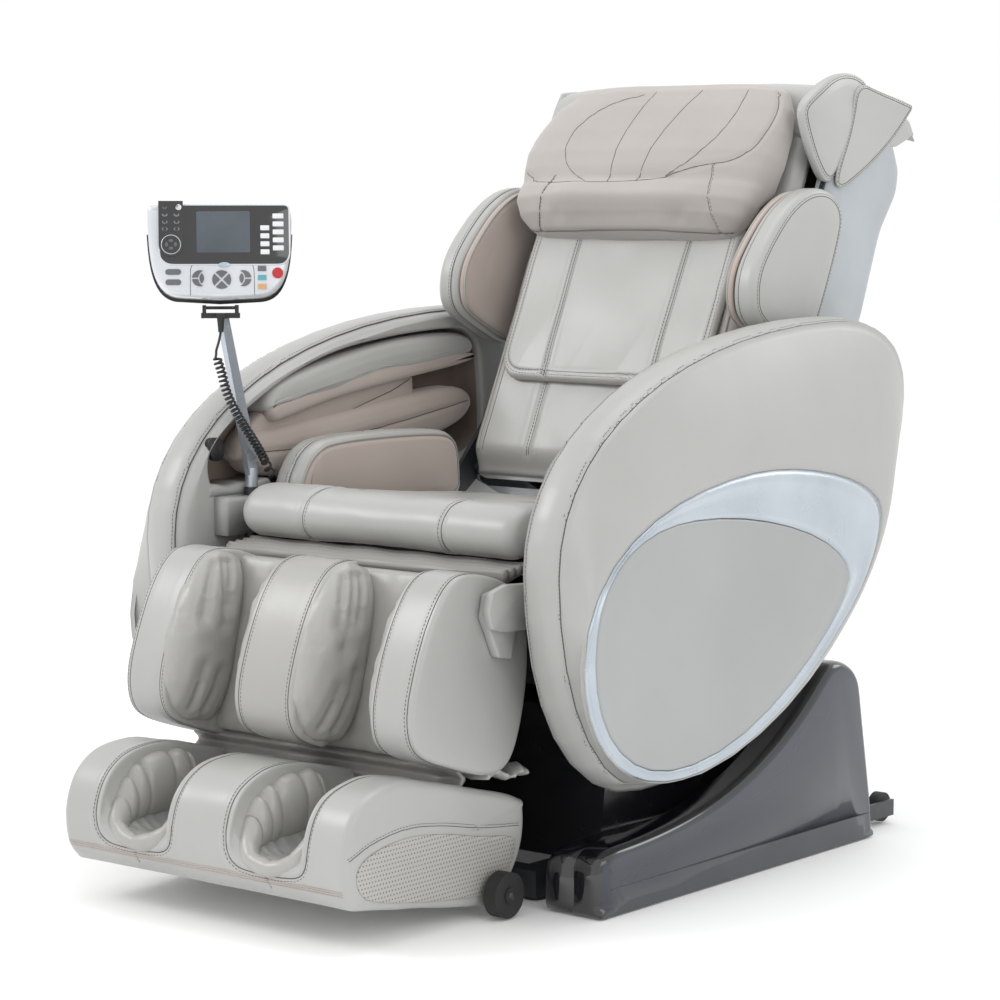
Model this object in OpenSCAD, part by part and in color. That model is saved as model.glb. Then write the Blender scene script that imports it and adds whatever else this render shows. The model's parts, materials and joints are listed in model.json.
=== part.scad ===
// Massage chair: tilting seat carriage with arm pods, reclining back, raising leg rest,
// foot section that extends with it, and a remote console on a bar arm.
// Millimetres. +X is the sitter's left, the chair faces -Y, +Z is up.
// The origin is on the floor, under the middle of the base.

/* [Base] */
// Half width of the base over the skirts
base_hw = 420; // [415:1:425]
// Half length of the base
base_hl = 365; // [360:1:370]
// Wall of the plastic skirts and covers
wall = 4; // [3:0.5:5]
// Height of the flat deck beside the centre cover
deck_z = 92; // [80:1:100]

/* [Seat] */
// Half width of the seat cushion between the bolsters
seat_hw = 232; // [220:1:233]
// Half width of the front roll of the seat
roll_hw = 275; // [260:1:280]
// Outer half width of the hip bolsters
bolster_out = 298; // [290:1:300]

/* [Arm pods] */
// Inner face of a pod from the middle of the chair
pod_in = 330; // [328:1:334]
// Width of the pod's inboard layer, which drops inside the skirts
pod_nest = 32; // [28:1:34]
// Outer face of a pod from the middle of the chair
pod_out = 448; // [440:1:452]

/* [Backrest] */
// Lean of the back from upright, in degrees
back_lean = 25; // [20:1:28]
// Half width of the rear shell
shell_hw = 285; // [270:1:290]

/* [Leg rest] */
// Lean of the calf section from upright, in degrees
leg_lean = 13; // [10:1:15]
// Half width of the leg rest
leg_hw = 283; // [270:1:284]
// Half width of the centre calf bolster
mid_hw = 60; // [50:1:65]
// Inner face of the outer calf bolsters
calf_in = 200; // [190:1:205]

/* [Console] */
// Angle of the console from facing straight ahead, in degrees
console_yaw = 45; // [30:1:60]
// Backward tilt of the console, in degrees
console_tilt = 12; // [5:1:20]
// Width of the console
console_w = 222; // [210:1:230]
// Height of the console
console_h = 148; // [140:1:155]

/* [Hidden] */
$fn = 48;
// Floor clearance of everything but the feet
lift = 3;
// Pivots, as [y, z]
tilt_pivot = [200, 330];
back_pivot = [150, 545];
leg_pivot = [-450, 448];
// Pivot pins and their running bores
pin_r = 9;
bore_r = 9.06;
small_pin_r = 5;
// Centre cover half width
cover_hw = 318;
// Mirror-pair plate positions
upright_x = 266;
seat_plate_x = 282;
plate_t = 8;
tab_x = 290;
ear_x = 290;
bracket_x = 300;
// Pin of the seat frame that the tilt rod pushes, and the actuator's foot
push_pin = [-150, 400];
tilt_foot = [-180, 90];
// Axles of the rear transport wheels and of the foot rollers
caster_at = [462, 27];
roller_at = [-436, 35.5];
// Lever pins of the back and leg frames, relative to their pivots
back_lever = [20, -80];
leg_lever = [50, -58];
// Height of the leg actuator below the leg pivot, the middle of its slot's travel
leg_drop = 67.3;
recline_x = 80;
leg_act_x = -80;
// Remote arm foot, and the console's hinge at the cord exit
arm_foot = [-318, -300];
console_at = [-318, -366, 853];
cord_r = 8;
// Where the free cord runs, from the strain relief to the gland in the pod floor
cord_route = [[-310, -374, 818], [-309, -378, 806], [-308, -383, 796], [-308, -388, 786], [-307, -384, 770],
    [-306, -378, 757], [-305, -370, 727], [-303, -358, 703], [-301, -342, 679], [-299, -322, 654],
    [-298, -303, 630], [-300, -290, 614], [-306, -277, 602], [-311, -262, 588], [-312, -250, 574],
    [-312, -250, 564]];

// ---------- helpers ----------

// A point on a cubic curve
function bez_at(a, b, c, d, t) =
    pow(1 - t, 3) * a + 3 * pow(1 - t, 2) * t * b + 3 * (1 - t) * t * t * c + t * t * t * d;
// The curve's points, without its last
function bez(a, b, c, d, n) = [for (i = [0:n - 1]) bez_at(a, b, c, d, i / n)];
// A [y, z] outline pushed from x0 to x1
module yz(x0, x1, pts) translate([x0, 0, 0]) rotate([90, 0, 90]) linear_extrude(x1 - x0) polygon(pts);
// A round bar along X
module bar_x(x0, x1, y, z, r) translate([x0, y, z]) rotate([0, 90, 0]) cylinder(h = x1 - x0, r = r);
// A round bar along Y
module bar_y(x, y0, y1, z, r) translate([x, y1, z]) rotate([90, 0, 0]) cylinder(h = y1 - y0, r = r);
// A box from its low and high corners
module block(lo, hi) translate(lo) cube(hi - lo);
module both() { children(); mirror([1, 0, 0]) children(); }
module left_hand() { mirror([1, 0, 0]) children(); }
// The back's own frame: +Z up the back, -Y to its front
module in_back() translate([0, back_pivot[0], back_pivot[1]]) rotate([-back_lean, 0, 0]) children();
// The calf section's own frame: -Z down the calf, -Y to its front
module in_leg() translate([0, leg_pivot[0], leg_pivot[1]]) rotate([-leg_lean, 0, 0]) children();
// The console's own frame: X across, Z up its face, -Y out of it
module in_console() translate(console_at) rotate([0, 0, console_yaw]) rotate([-console_tilt, 0, 0]) children();

// ---------- base ----------

rim = concat(
    [[-base_hl, 3], [-base_hl, 62]],
    bez([-base_hl, 62], [-base_hl, 92], [-345, 98], [-300, 100], 4),
    bez([-300, 100], [-120, 108], [60, 140], [222, 288], 8),
    bez([222, 288], [244, 308], [306, 300], [322, 255], 6),
    [[322, 255], [base_hl - 6, 60], [base_hl, 3]]);

module base_frame() color("#3a3c40") {
    difference() {
        union() {
            both() block([235, -330, 6], [275, 340, 46]);
            block([-235, -330, 6], [235, -295, 46]);
            block([-235, -20, 6], [235, 20, 46]);
            block([-235, 305, 6], [235, 340, 46]);
            both() yz(upright_x, upright_x + plate_t, [[150, 46], [250, 46], [224, 346], [212, 354],
                [188, 354], [176, 346]]);
            both() bar_x(upright_x + plate_t, 294, tilt_pivot[0], tilt_pivot[1], pin_r);
            both() block([275, 60, 10], [366, 90, 40]);
            both() block([275, -280, 10], [366, -250, 40]);
            both() block([346, 340, 14], [352, 474, 40]);
            both() block([382, 368, 14], [388, 474, 40]);
            both() block([235, 325, 14], [352, 340, 40]);
            both() block([352, 368, 14], [382, 376, 40]);
            both() block([19, -192, 6], [25, -168, 104]);
            block([-25, -192, 6], [25, -20, 14]);
            bar_x(-19, 19, tilt_foot[0], tilt_foot[1], 6);
        }
        both() bar_x(260, 266.5, tilt_pivot[0], tilt_pivot[1], 5);
    }
    both() bar_x(346, 388, caster_at[0], caster_at[1], 4);
}

// One skirt: a hollow moulding with a tall outer fin and a low inner deck
module side_skirt() color("#2b2d33") difference() {
    union() {
        yz(370, base_hw, rim);
        yz(cover_hw + 2, 370, [[-base_hl, 3], [-base_hl, 60], [-340, deck_z], [300, deck_z], [330, 60],
            [base_hl, 3]]);
    }
    translate([0, 0, -wall]) yz(370 + wall, base_hw - wall, [for (p = rim)
        [p[0] * (base_hl - wall) / base_hl, p[1] - 0.01]]);
    block([cover_hw + 1, -base_hl + 28, 0], [372, 322, deck_z - wall]);
    block([369, -base_hl + 28, 0], [376, 322, deck_z - wall - 8]);
    block([cover_hw + 1, 318, 0], [390, base_hl + 1, 42]);
}
module side_skirt_right() side_skirt();
module side_skirt_left() left_hand() side_skirt();

// Recessed black cover over the works between the skirts
module centre_cover() color("#141518") difference() {
    yz(-cover_hw, cover_hw, [[-236, 48], [-205, 268], [-170, 290], [150, 290], [160, 250],
        [262, 250], [300, 200], [345, 60], [345, 48]]);
    yz(-cover_hw + wall, cover_hw - wall, [[-232, 47], [-201, 264], [-168, 286], [146, 286],
        [156, 246], [260, 246], [296, 198], [341, 60], [341, 47]]);
    both() block([255, 140, 240], [300, 260, 300]);
    block([-60, -168, 200], [60, -60, 300]);
    block([-60, -220, 250], [60, -60, 300]);
    block([154.5, 330, 72], [191.5, 350, 94]);
}

module control_box() color("#9a9da3") {
    block([-200, 40, 54], [-60, 220, 120]);
    for (i = [0:5]) block([-190 + i * 22, 60, 120], [-180 + i * 22, 200, 124]);
    block([-62, 60, 70], [-54, 120, 100]);
}

module air_pump() color("#55585e") {
    block([60, 40, 54], [200, 200, 130]);
    for (s = [-1, 1]) translate([130 + s * 36, 120, 130]) cylinder(h = 14, r = 24);
    for (i = [0:3]) bar_y(80 + i * 30, 200, 222, 100, 6);
    block([70, 10, 56], [190, 36, 84]);
    block([120, 34, 60], [140, 42, 76]);
}

// Rubber pads under the frame; the middle one is under the origin
module feet() color("#1b1b1b") {
    for (p = [[255, -305], [-255, -305], [255, 320], [-255, 320], [0, 0]])
        translate([p[0], p[1], 0]) cylinder(h = 6, r = 18);
}

// Rocker of the mains switch, with its pivot barrel
module power_switch() color("#202124") {
    block([156, 334, 74], [190, 348, 92]);
    bar_x(155, 191, 341, 83, 4);
}

module caster() color("#17181a") difference() {
    union() {
        bar_x(359, 375, caster_at[0], caster_at[1], 24);
        bar_x(355, 379, caster_at[0], caster_at[1], 10);
    }
    bar_x(350, 384, caster_at[0], caster_at[1], 4.06);
}
module rear_caster_right() caster();
module rear_caster_left() left_hand() caster();

// Linear actuator that tilts the seat: foot eye, motor, tube
module along_tilt() translate([0, tilt_foot[0], tilt_foot[1]])
    rotate([-atan2(push_pin[0] - tilt_foot[0], push_pin[1] - tilt_foot[1]), 0, 0]) children();
tilt_len = norm(push_pin - tilt_foot);
module tilt_actuator() color("#6d7078") along_tilt() difference() {
    union() {
        bar_x(-11, 11, 0, 0, 12);
        cylinder(h = 190, r = 17);
        translate([0, 42, 14]) cylinder(h = 90, r = 24);
        block([-14, 0, 6], [14, 50, 34]);
    }
    bar_x(-20, 20, 0, 0, 6.06);
    translate([0, 0, 16]) cylinder(h = 200, r = 9.5);
}
module tilt_rod() color("#c9ccd1") along_tilt() difference() {
    union() {
        translate([0, 0, 20]) cylinder(h = tilt_len - 36, r = 9);
        bar_x(-9, 9, 0, tilt_len, 17);
    }
    bar_x(-20, 20, 0, tilt_len, 11);
}

// ---------- seat carriage ----------

seat_plate = [[-345, 395], [-345, 470], [-320, 495], [-60, 495], [40, 480], [130, 480], [136, 566],
    [164, 566], [176, 500], [230, 350], [224, 312], [176, 312], [120, 380]];

module seat_frame() color("#4a4d52") {
    difference() {
        both() yz(seat_plate_x, seat_plate_x + plate_t, seat_plate);
        bar_x(-300, 300, tilt_pivot[0], tilt_pivot[1], bore_r);
        both() yz(seat_plate_x - 1, seat_plate_x + plate_t + 1, [[-290, 415], [-290, 470], [-80, 470],
            [40, 455], [80, 420]]);
    }
    block([-seat_plate_x, -340, 425], [seat_plate_x, -315, 460]);
    block([-seat_plate_x, -75, 372], [-40, -50, 402]);
    block([-40, -75, 372], [40, -50, 402]);
    block([40, -75, 372], [seat_plate_x, -50, 402]);
    block([-seat_plate_x, -150, 452], [seat_plate_x, -130, 486]);
    block([-seat_plate_x, 84, 492], [seat_plate_x, 104, 502]);
    both() bar_x(262, seat_plate_x, back_pivot[0], back_pivot[1], pin_r);
    // seat board
    block([-228, -330, 485], [228, 84, 502]);
    // forward brackets of the leg rest hinge
    both() block([seat_plate_x + plate_t, -345, 420], [bracket_x + 8, -325, 466]);
    both() difference() {
        yz(bracket_x, bracket_x + 8, [[-345, 420], [-345, 466], [-440, 472], [-468, 466], [-474, 448],
            [-466, 430], [-440, 424]]);
        bar_x(bracket_x - 1, bracket_x + 3, leg_pivot[0], leg_pivot[1], 4);
    }
    both() bar_x(ear_x - 2, bracket_x, leg_pivot[0], leg_pivot[1], pin_r);
    // pins for the tilt rod and its cheeks
    bar_x(-20, 20, push_pin[0], push_pin[1], 6);
    both() yz(14, 20, [[-165, 385], [-165, 452], [-135, 452], [-135, 385]]);
    // pod mounts
    both() block([seat_plate_x + plate_t, -250, 400], [pod_in, -210, 440]);
    both() block([seat_plate_x + plate_t, -60, 400], [pod_in, -20, 440]);
    // socket of the remote arm
    difference() {
        union() {
            translate([arm_foot[0], arm_foot[1], 480]) cylinder(h = 90, r = 11.5);
            block([-318, -306, 482], [-289, -294, 494]);
        }
        translate([arm_foot[0], arm_foot[1], 500]) cylinder(h = 90, r = 7.06);
    }
}

module seat_pad() color("#b3afa7") {
    yz(-roll_hw, roll_hw, concat(bez([-340, 504], [-395, 504], [-395, 576], [-330, 582], 10),
        [[-330, 582], [-286, 580], [-286, 504]]));
    yz(-seat_hw, seat_hw, [[-286, 504], [-286, 580], [-171, 565], [0, 549], [85, 543], [100, 530], [100, 504]]);
}

bolster_side = [[-280, 506], [-280, 570], [-268, 600], [-243, 630], [-197, 647], [60, 646], [108, 630],
    [125, 590], [125, 506]];
module hip_bolster() color("#b3aaa2") yz(236, bolster_out, bolster_side);
module hip_bolster_right() hip_bolster();
module hip_bolster_left() left_hand() hip_bolster();

pod_outline = concat(
    bez([-452, 500], [-452, 700], [-170, 836], [250, 838], 14),
    bez([250, 838], [390, 838], [466, 795], [466, 713], 8),
    bez([466, 713], [466, 600], [360, 446], [280, 318], 8),
    bez([280, 318], [200, 190], [60, 150], [-180, 150], 8),
    bez([-180, 150], [-360, 150], [-452, 315], [-452, 500], 8));
// The outboard layer clears the skirt fins over the whole tilt
pod_outer_outline = concat(
    bez([-440, 500], [-440, 690], [-165, 824], [250, 826], 12),
    bez([250, 826], [382, 826], [454, 790], [454, 713], 7),
    bez([454, 713], [454, 610], [390, 500], [310, 400], 7),
    bez([310, 400], [230, 305], [60, 200], [-160, 176], 7),
    bez([-160, 176], [-340, 160], [-440, 315], [-440, 500], 7));
pod_bay = [[-368, 560], [-384, 606], [-370, 640], [-330, 672], [-262, 708], [-190, 742], [-100, 770],
    [0, 787], [150, 800], [270, 800], [290, 700], [290, 560]];
module pod() color("#b9b7b0") difference() {
    union() {
        yz(pod_in, pod_in + pod_nest + 0.5, pod_outline);
        yz(pod_in + pod_nest, pod_out, pod_outer_outline);
        block([302, -372, 500], [pod_in + 1, -130, 558]);
    }
    yz(pod_in - 1, 424, pod_bay);
    translate([-arm_foot[0], arm_foot[1], 490]) cylinder(h = 80, r = 13);
}
module pod_right() pod();
// The left pod also holds the cord's gland
module pod_left() {
    left_hand() pod();
    color("#101010") translate([-312, -250, 557]) cylinder(h = 7, r = 9.5);
}

trim_outer = concat(
    bez([-440, 375], [-440, 560], [-150, 622], [30, 618], 10),
    bez([30, 618], [180, 614], [330, 575], [330, 530], 8),
    bez([330, 530], [330, 490], [300, 440], [240, 385], 6),
    bez([240, 385], [120, 280], [0, 210], [-150, 190], 6),
    bez([-150, 190], [-330, 166], [-440, 250], [-440, 375], 10));
panel_outline = concat(
    bez([-420, 380], [-420, 500], [-330, 560], [-180, 560], 9),
    bez([-180, 560], [0, 560], [232, 500], [232, 436], 9),
    bez([232, 436], [232, 400], [60, 250], [-120, 212], 8),
    bez([-120, 212], [-320, 170], [-420, 260], [-420, 380], 9));
module trim_piece() difference() {
    yz(pod_out, pod_out + 6, trim_outer);
    yz(pod_out - 1, pod_out + 7, panel_outline);
}
module pod_trims() color("#a9b3ba") both() trim_piece();
module panel_piece() yz(pod_out, pod_out + 9, [for (p = panel_outline)
    [p[0] + (p[0] > -100 ? -0.6 : 0.6), p[1] + (p[1] > 385 ? -0.6 : 0.6)]]);
module pod_panels() color("#b9b8b1") both() panel_piece();

arm_pad_side = [[-250, 690], [-240, 712], [-215, 728], [-140, 748], [-20, 774], [105, 788], [262, 790],
    [262, 745], [60, 724], [-100, 704], [-235, 682]];
forearm_side = [[-262, 582], [-290, 610], [-286, 640], [-262, 654], [-100, 668], [60, 686], [262, 706],
    [262, 640], [60, 604], [-120, 586]];
module arm_pad() color("#b8b6ae") yz(pod_in + 4, 418, arm_pad_side);
module arm_pad_right() arm_pad();
module arm_pad_left() left_hand() arm_pad();
module forearm_rest() color("#b5a79c") yz(pod_in + 4, 418, forearm_side);
module forearm_rest_right() forearm_rest();
module forearm_rest_left() left_hand() forearm_rest();

// Pleated cover between the seat and the leg rest
module seat_gaiter() color("#a3a099") for (i = [0:3])
    block([-276, -404 + i * 16, 474 + i * 4], [276, -389 + i * 16, 496 + i * 1.5]);

module actuator_body(x, y0, y1, z, side) difference() {
    union() {
        bar_y(x, y0, y1, z, 17);
        bar_y(x + side * 34, y0 + 10, y0 + 110, z, 16);
        block([min(x, x + side * 34), y0 + 10, z - 12], [max(x, x + side * 34), y0 + 40, z + 12]);
    }
    bar_y(x, y0 + 20, y1 + 1, z, 9.5);
    bar_y(x, y1 - 120, y1 + 1, z, 9.5);
}
module recline_actuator() color("#6d7078") {
    actuator_body(recline_x, -128, 80, back_pivot[1] + back_lever[1] + 2, 1);
}
module recline_rod() color("#c9ccd1") {
    z = back_pivot[1] + back_lever[1] + 2;
    y = back_pivot[0] + back_lever[0];
    bar_y(recline_x, -20, y - 15, z, 9);
    difference() {
        block([recline_x - 4, y - 16, z - 24], [recline_x + 4, y + 16, z + 24]);
        block([recline_x - 5, y - 7, z - 15], [recline_x + 5, y + 7, z + 15]);
    }
}
module leg_actuator() color("#6d7078") difference() {
    union() {
        bar_y(leg_act_x, -312, -76, leg_pivot[1] - leg_drop, 17);
        bar_y(leg_act_x - 38, -190, -90, leg_pivot[1] - leg_drop, 22);
        block([leg_act_x - 38, -120, leg_pivot[1] - leg_drop - 14], [leg_act_x, -90, leg_pivot[1] - leg_drop + 14]);
    }
    bar_y(leg_act_x, -320, -110, leg_pivot[1] - leg_drop, 9.5);
}
module leg_rod() color("#c9ccd1") {
    z = leg_pivot[1] - leg_drop;
    y = leg_pivot[0] + leg_lever[0];
    bar_y(leg_act_x, y + 12, -215, z, 9);
    difference() {
        block([leg_act_x - 4, y - 12.5, z - 18.5], [leg_act_x + 4, y + 12.5, z + 18.5]);
        block([leg_act_x - 5, y - 8, z - 15.5], [leg_act_x + 5, y + 8, z + 15.5]);
    }
}

// ---------- backrest ----------

module back_frame() color("#4a4d52") {
    in_back() {
        difference() {
            both() yz(268, 276, [[-16, -7], [-7, -16], [16, -16], [60, 60], [70, 640], [40, 660], [34, 660],
                [20, 120], [-16, 12]]);
            bar_x(-300, 300, 0, 0, bore_r);
        }
        bar_x(-268, 268, 34, 40, 10);
        block([-268, 46, 640], [268, 66, 656]);
        block([-268, 54, 180], [-150, 66, 200]);
        block([150, 54, 180], [268, 66, 200]);
        // guide rails of the massage carriage
        both() block([164, 66, 30], [176, 96, 640]);
        both() block([150, 54, 30], [176, 66, 640]);
        both() block([160, 36, 30], [176, 54, 60]);
    }
    // lever pair and its pin, pulled by the recline rod
    for (x = [66, 88]) yz(x, x + 6, [[158, 458], [184, 458], [214, 566], [196, 572], [187, 552],
        [158, 480]]);
    bar_x(66, 94, back_pivot[0] + back_lever[0], back_pivot[1] + back_lever[1], small_pin_r);
}

shell_side = [[36, 20], [30, 600], [44, 716], [120, 740], [182, 724], [232, 680], [240, 636], [222, 560],
    [230, 420], [226, 200], [190, 60], [150, 20]];
module back_shell() color("#b6c0c6") in_back() difference() {
    yz(-shell_hw, shell_hw, shell_side);
    yz(-shell_hw + wall, shell_hw - wall, [[20, 24], [20, 600], [48, 712], [120, 736], [180, 720],
        [228, 678], [236, 636], [218, 560], [226, 420], [222, 200], [186, 60], [148, 24]]);
    yz(-shell_hw + wall, shell_hw - wall, [[10, 0], [10, 700], [62, 700], [62, 0]]);
    for (s = [-1, 1]) block([s * 80 - 26, 30, 10], [s * 80 + 26, 90, 40]);
}

module back_pad() color("#b5b2aa") in_back() {
    yz(-230, 230, [[-28, 18], [-40, 60], [-44, 200], [-44, 408], [-26, 414], [18, 414], [18, 56], [10, 18]]);
    yz(-250, 250, [[-14, 416], [-14, 640], [18, 640], [18, 416]]);
}

// Leather cover over the top of the shell, with its side flaps
module back_hood() color("#aeaca5") in_back() difference() {
    yz(-292, 292, [[-10, 646], [-10, 735], [60, 776], [150, 790], [222, 772], [206, 722], [120, 744],
        [40, 720], [24, 646]]);
    block([-293, 60, 600], [293, 300, 742]);
}

wing_side = [[-76, 262], [-116, 270], [-138, 300], [-146, 340], [-134, 392], [-100, 452], [-50, 500],
    [0, 516], [22, 500], [22, 262]];
module wing() color("#b7b4ad") in_back() yz(264, 322, wing_side);
module wing_right() wing();
module wing_left() left_hand() wing();

module head_pillow() color("#c3b3a8") in_back() {
    yz(-222, 222, [[-52, 424], [-88, 436], [-110, 480], [-104, 520], [-94, 540], [-50, 540], [-50, 424]]);
    yz(-250, 250, [[-50, 500], [-100, 520], [-94, 600], [-70, 672], [-44, 708], [-18, 706], [-18, 500]]);
}

module massage_carriage() color("#7a7d84") in_back() {
    difference() {
        union() {
            block([-146, 132, 262], [146, 142, 300]);
            block([-146, 132, 352], [146, 142, 380]);
            both() block([146, 72, 280], [160, 92, 300]);
            both() block([146, 72, 340], [160, 92, 360]);
            both() block([140, 44, 260], [147, 142, 380]);
            block([-50, 100, 266], [50, 134, 300]);
        }
        bar_x(-150, 150, 72, 330, 8.06);
    }
}
// Kneading shaft with its two offset arms and rollers
module kneading_rollers() color("#26272b") in_back() {
    bar_x(-146, 146, 72, 330, 8);
    for (s = [-1, 1]) {
        bar_x(s * 80 - 6, s * 80 + 6, 72, 330, 20);
        for (e = [-1, 1]) {
            bar_x(s * 80 - 14, s * 80 + 14, 66, 330 + e * 30, 14);
            yz(s * 80 - 4, s * 80 + 4, [[60, 330], [84, 330], [72, 330 + e * 34], [60, 330 + e * 34]]);
        }
    }
}

// ---------- leg rest ----------

module leg_frame() color("#4a4d52") {
    in_leg() {
        difference() {
            both() yz(ear_x, ear_x + 8, [[-14, -14], [-14, 14], [14, 14], [42, -20], [42, -60], [30, -60]]);
            bar_x(-310, 310, 0, 0, bore_r);
        }
        both() block([250, 32, -60], [ear_x + 8, 42, -28]);
        block([-250, 32, -60], [leg_act_x - 12, 42, -28]);
        block([leg_act_x + 12, 32, -60], [250, 42, -28]);
        both() block([230, 32, -228], [250, 42, -28]);
        block([-230, 32, -228], [230, 42, -206]);
        for (x = [leg_act_x - 14, leg_act_x + 8])
            yz(x, x + 6, [[34, -28], [34, -60], [56, -60], [70, -50], [70, -40], [50, -28]]);
    }
    bar_x(leg_act_x - 14, leg_act_x + 14, leg_pivot[0] + leg_lever[0], leg_pivot[1] + leg_lever[1],
        small_pin_r);
}

module calf_cradle() color("#a5a29b") in_leg()
    yz(-leg_hw, leg_hw, [[-14, 30], [8, 40], [26, 40], [30, -228], [-14, -228]]);

calf_side = [[-15, 46], [-52, 44], [-88, 24], [-114, -30], [-128, -100], [-132, -165], [-116, -208],
    [-86, -226], [-15, -232]];
module calf_bolster_right() color("#b9b7b0") in_leg() yz(calf_in, leg_hw, calf_side);
module calf_bolster_left() left_hand() calf_bolster_right();
module calf_bolster_centre() color("#b9b7b0") in_leg() yz(-mid_hw, mid_hw, calf_side);

foot_side = [[-728, 62], [-742, 84], [-749, 118], [-745, 160], [-722, 200], [-680, 222], [-620, 226],
    [-560, 214], [-470, 190], [-392, 172], [-356, 158], [-352, 112], [-372, 62], [-420, 10]];
// One foot well, open at its top and front
module foot_well() {
    yz(-68, 68, [[-800, 112], [-740, 112], [-560, 84], [-536, 96], [-536, 260], [-800, 260]]);
}
module foot_body() difference() {
    yz(-278, 278, foot_side);
    for (s = [-1, 1]) translate([s * 130, 0, 0]) foot_well();
}
module foot_cradle() {
    color("#b1aea7") foot_body();
    color("#202020") both() bar_x(270, 318, roller_at[0], roller_at[1], 6);
}
module foot_roller() color("#141414") difference() {
    union() {
        bar_x(290, 312, roller_at[0], roller_at[1], 33);
        bar_x(287, 315, roller_at[0], roller_at[1], 12);
    }
    bar_x(286, 316, roller_at[0], roller_at[1], 6.06);
}
module foot_roller_right() foot_roller();
module foot_roller_left() left_hand() foot_roller();

// ---------- console ----------

module remote_arm() color("#b4bac2") {
    translate([arm_foot[0], arm_foot[1], 504]) cylinder(h = 92, r = 7);
    translate([arm_foot[0], arm_foot[1], 571]) cylinder(h = 30, r = 10);
    yz(-323, -313, [[-310, 590], [-292, 590], [-292, 612], [-352, 836], [-358, 842], [-370, 838], [-314, 612]]);
    translate(console_at) rotate([0, 0, console_yaw]) {
        block([-30, -3, -16], [30, 9, -8]);
        both() block([22, -3, -16], [28, 9, 4]);
        bar_x(-28, 28, 0, 0, 2.5);
        block([-7, -18, -14], [7, 0, -8]);
        translate([0, -12, -37]) cylinder(h = 24, r1 = 4, r2 = 6);
    }
}

console_face = concat([[-console_w / 2 + 5, console_h]],
    bez([-console_w / 2, console_h - 5], [-console_w / 2 + 1, 60], [-console_w / 2 + 6, 6], [-60, 4], 12),
    [[0, 1]],
    bez([60, 4], [console_w / 2 - 6, 6], [console_w / 2 - 1, 60], [console_w / 2, console_h - 5], 12),
    [[console_w / 2 - 5, console_h]]);
// The console's parts stand a little above its hinge
face_lift = 9;
module in_face() in_console() translate([0, 0, face_lift]) children();
module face_plate(y0, y1) translate([0, y1, 0]) rotate([90, 0, 0]) linear_extrude(y1 - y0) children();
panel_face = [[-92, 146], [-92, 66], [-86, 58], [-78, 54], [96, 54], [103, 60], [106, 68], [106, 146]];

// Key outlines on the console's face
module power_shape() translate([88, 40]) circle(r = 8.5);
module rocker_shape(z) translate([-72, z]) hull_free_slot(12, 4.4);
module hull_free_slot(half, r) {
    square([2 * (half - r), 2 * r], center = true);
    for (s = [-1, 1]) translate([s * (half - r), 0]) circle(r = r);
}
module key_shape(z) translate([64, z]) square([13, 8], center = true);
module cross_shape() difference() {
    circle(r = 14.5);
    rotate(45) square([40, 3], center = true);
    rotate(-45) square([40, 3], center = true);
}
module side_shape() {
    difference() {
        circle(r = 12.5);
        translate([10, 0]) circle(r = 13);
        square([40, 2.6], center = true);
    }
    intersection() {
        translate([9.6, 0]) circle(r = 10.6);
        translate([-4.6, 0]) circle(r = 10.6);
    }
}
module keypad_left_shape() translate([-31, 32]) side_shape();
module keypad_centre_shape() translate([2, 30]) cross_shape();
module keypad_right_shape() translate([35, 32]) mirror([1, 0]) side_shape();
module all_keys() {
    power_shape();
    for (z = [42, 26]) rocker_shape(z);
    for (z = [47, 33, 19]) key_shape(z);
    keypad_left_shape();
    keypad_centre_shape();
    keypad_right_shape();
}
// A key: its cap, and the wider skirt that keeps it in the body
module key() in_face() face_plate(-29.4, -22) children();

module tray_outline() intersection() {
    polygon([for (p = console_face) [p[0] * 1.03, p[1] * 1.01 - 3]]);
    translate([-130, -6]) square([260, 112]);
}
module console_body() color("#cfd3d8") in_face() {
    difference() {
        face_plate(-28, 0) polygon(console_face);
        face_plate(-29, -20) all_keys_clear();
        face_plate(-29, -24) polygon(panel_face);
        face_plate(-29, -12) remote_pocket();
    }
    // black tray behind it, with the hinge knuckle
    face_plate(-0.1, 8) tray_outline();
    difference() {
        union() {
            translate([0, 0, -face_lift]) bar_x(-20, 20, 0, 0, 5);
            block([-20, -3, 2 - face_lift], [20, 3, 8]);
        }
        translate([0, 0, -face_lift]) bar_x(-21, 21, 0, 0, 2.56);
    }
}
module all_keys_clear() {
    translate([88, 40]) circle(r = 8.8);
    for (z = [42, 26]) translate([-72, z]) hull_free_slot(12.3, 4.7);
    for (z = [47, 33, 19]) translate([64, z]) square([13.6, 8.6], center = true);
    translate([-31, 32]) scale(1.03) pad_disc(13);
    translate([2, 30]) circle(r = 15);
    translate([35, 32]) scale(1.03) pad_disc(13);
}
module pad_disc(r) circle(r = r);
module remote_pocket() {
    translate([-75, 84]) circle(r = 19.4);
    translate([-94.4, 84]) square([38.8, 80]);
}

module console_panel() color("#101216") in_face() difference() {
    face_plate(-28.6, -24.2) offset_panel();
    face_plate(-30, -12) remote_pocket_clear();
}
module offset_panel() polygon([for (p = panel_face)
    [p[0] + (p[0] < 0 ? 0.3 : -0.3), p[1] + (p[1] < 100 ? 0.3 : -0.3)]]);
module remote_pocket_clear() {
    translate([-75, 84]) circle(r = 19.6);
    translate([-94.6, 84]) square([39.2, 80]);
}
module mini_remote() color("#0c0d10") in_face() {
    face_plate(-33, -12.6) {
        translate([-75, 84]) circle(r = 18.8);
        translate([-93.8, 84]) square([37.6, 68]);
    }
    face_plate(-34.4, -33) translate([-75, 84]) difference() { circle(r = 14); circle(r = 9); }
    for (i = [0:3]) for (s = [-1, 1]) face_plate(-34.2, -33) translate([-75 + s * 9, 108 + i * 12]) circle(r = 2.6);
}

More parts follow.
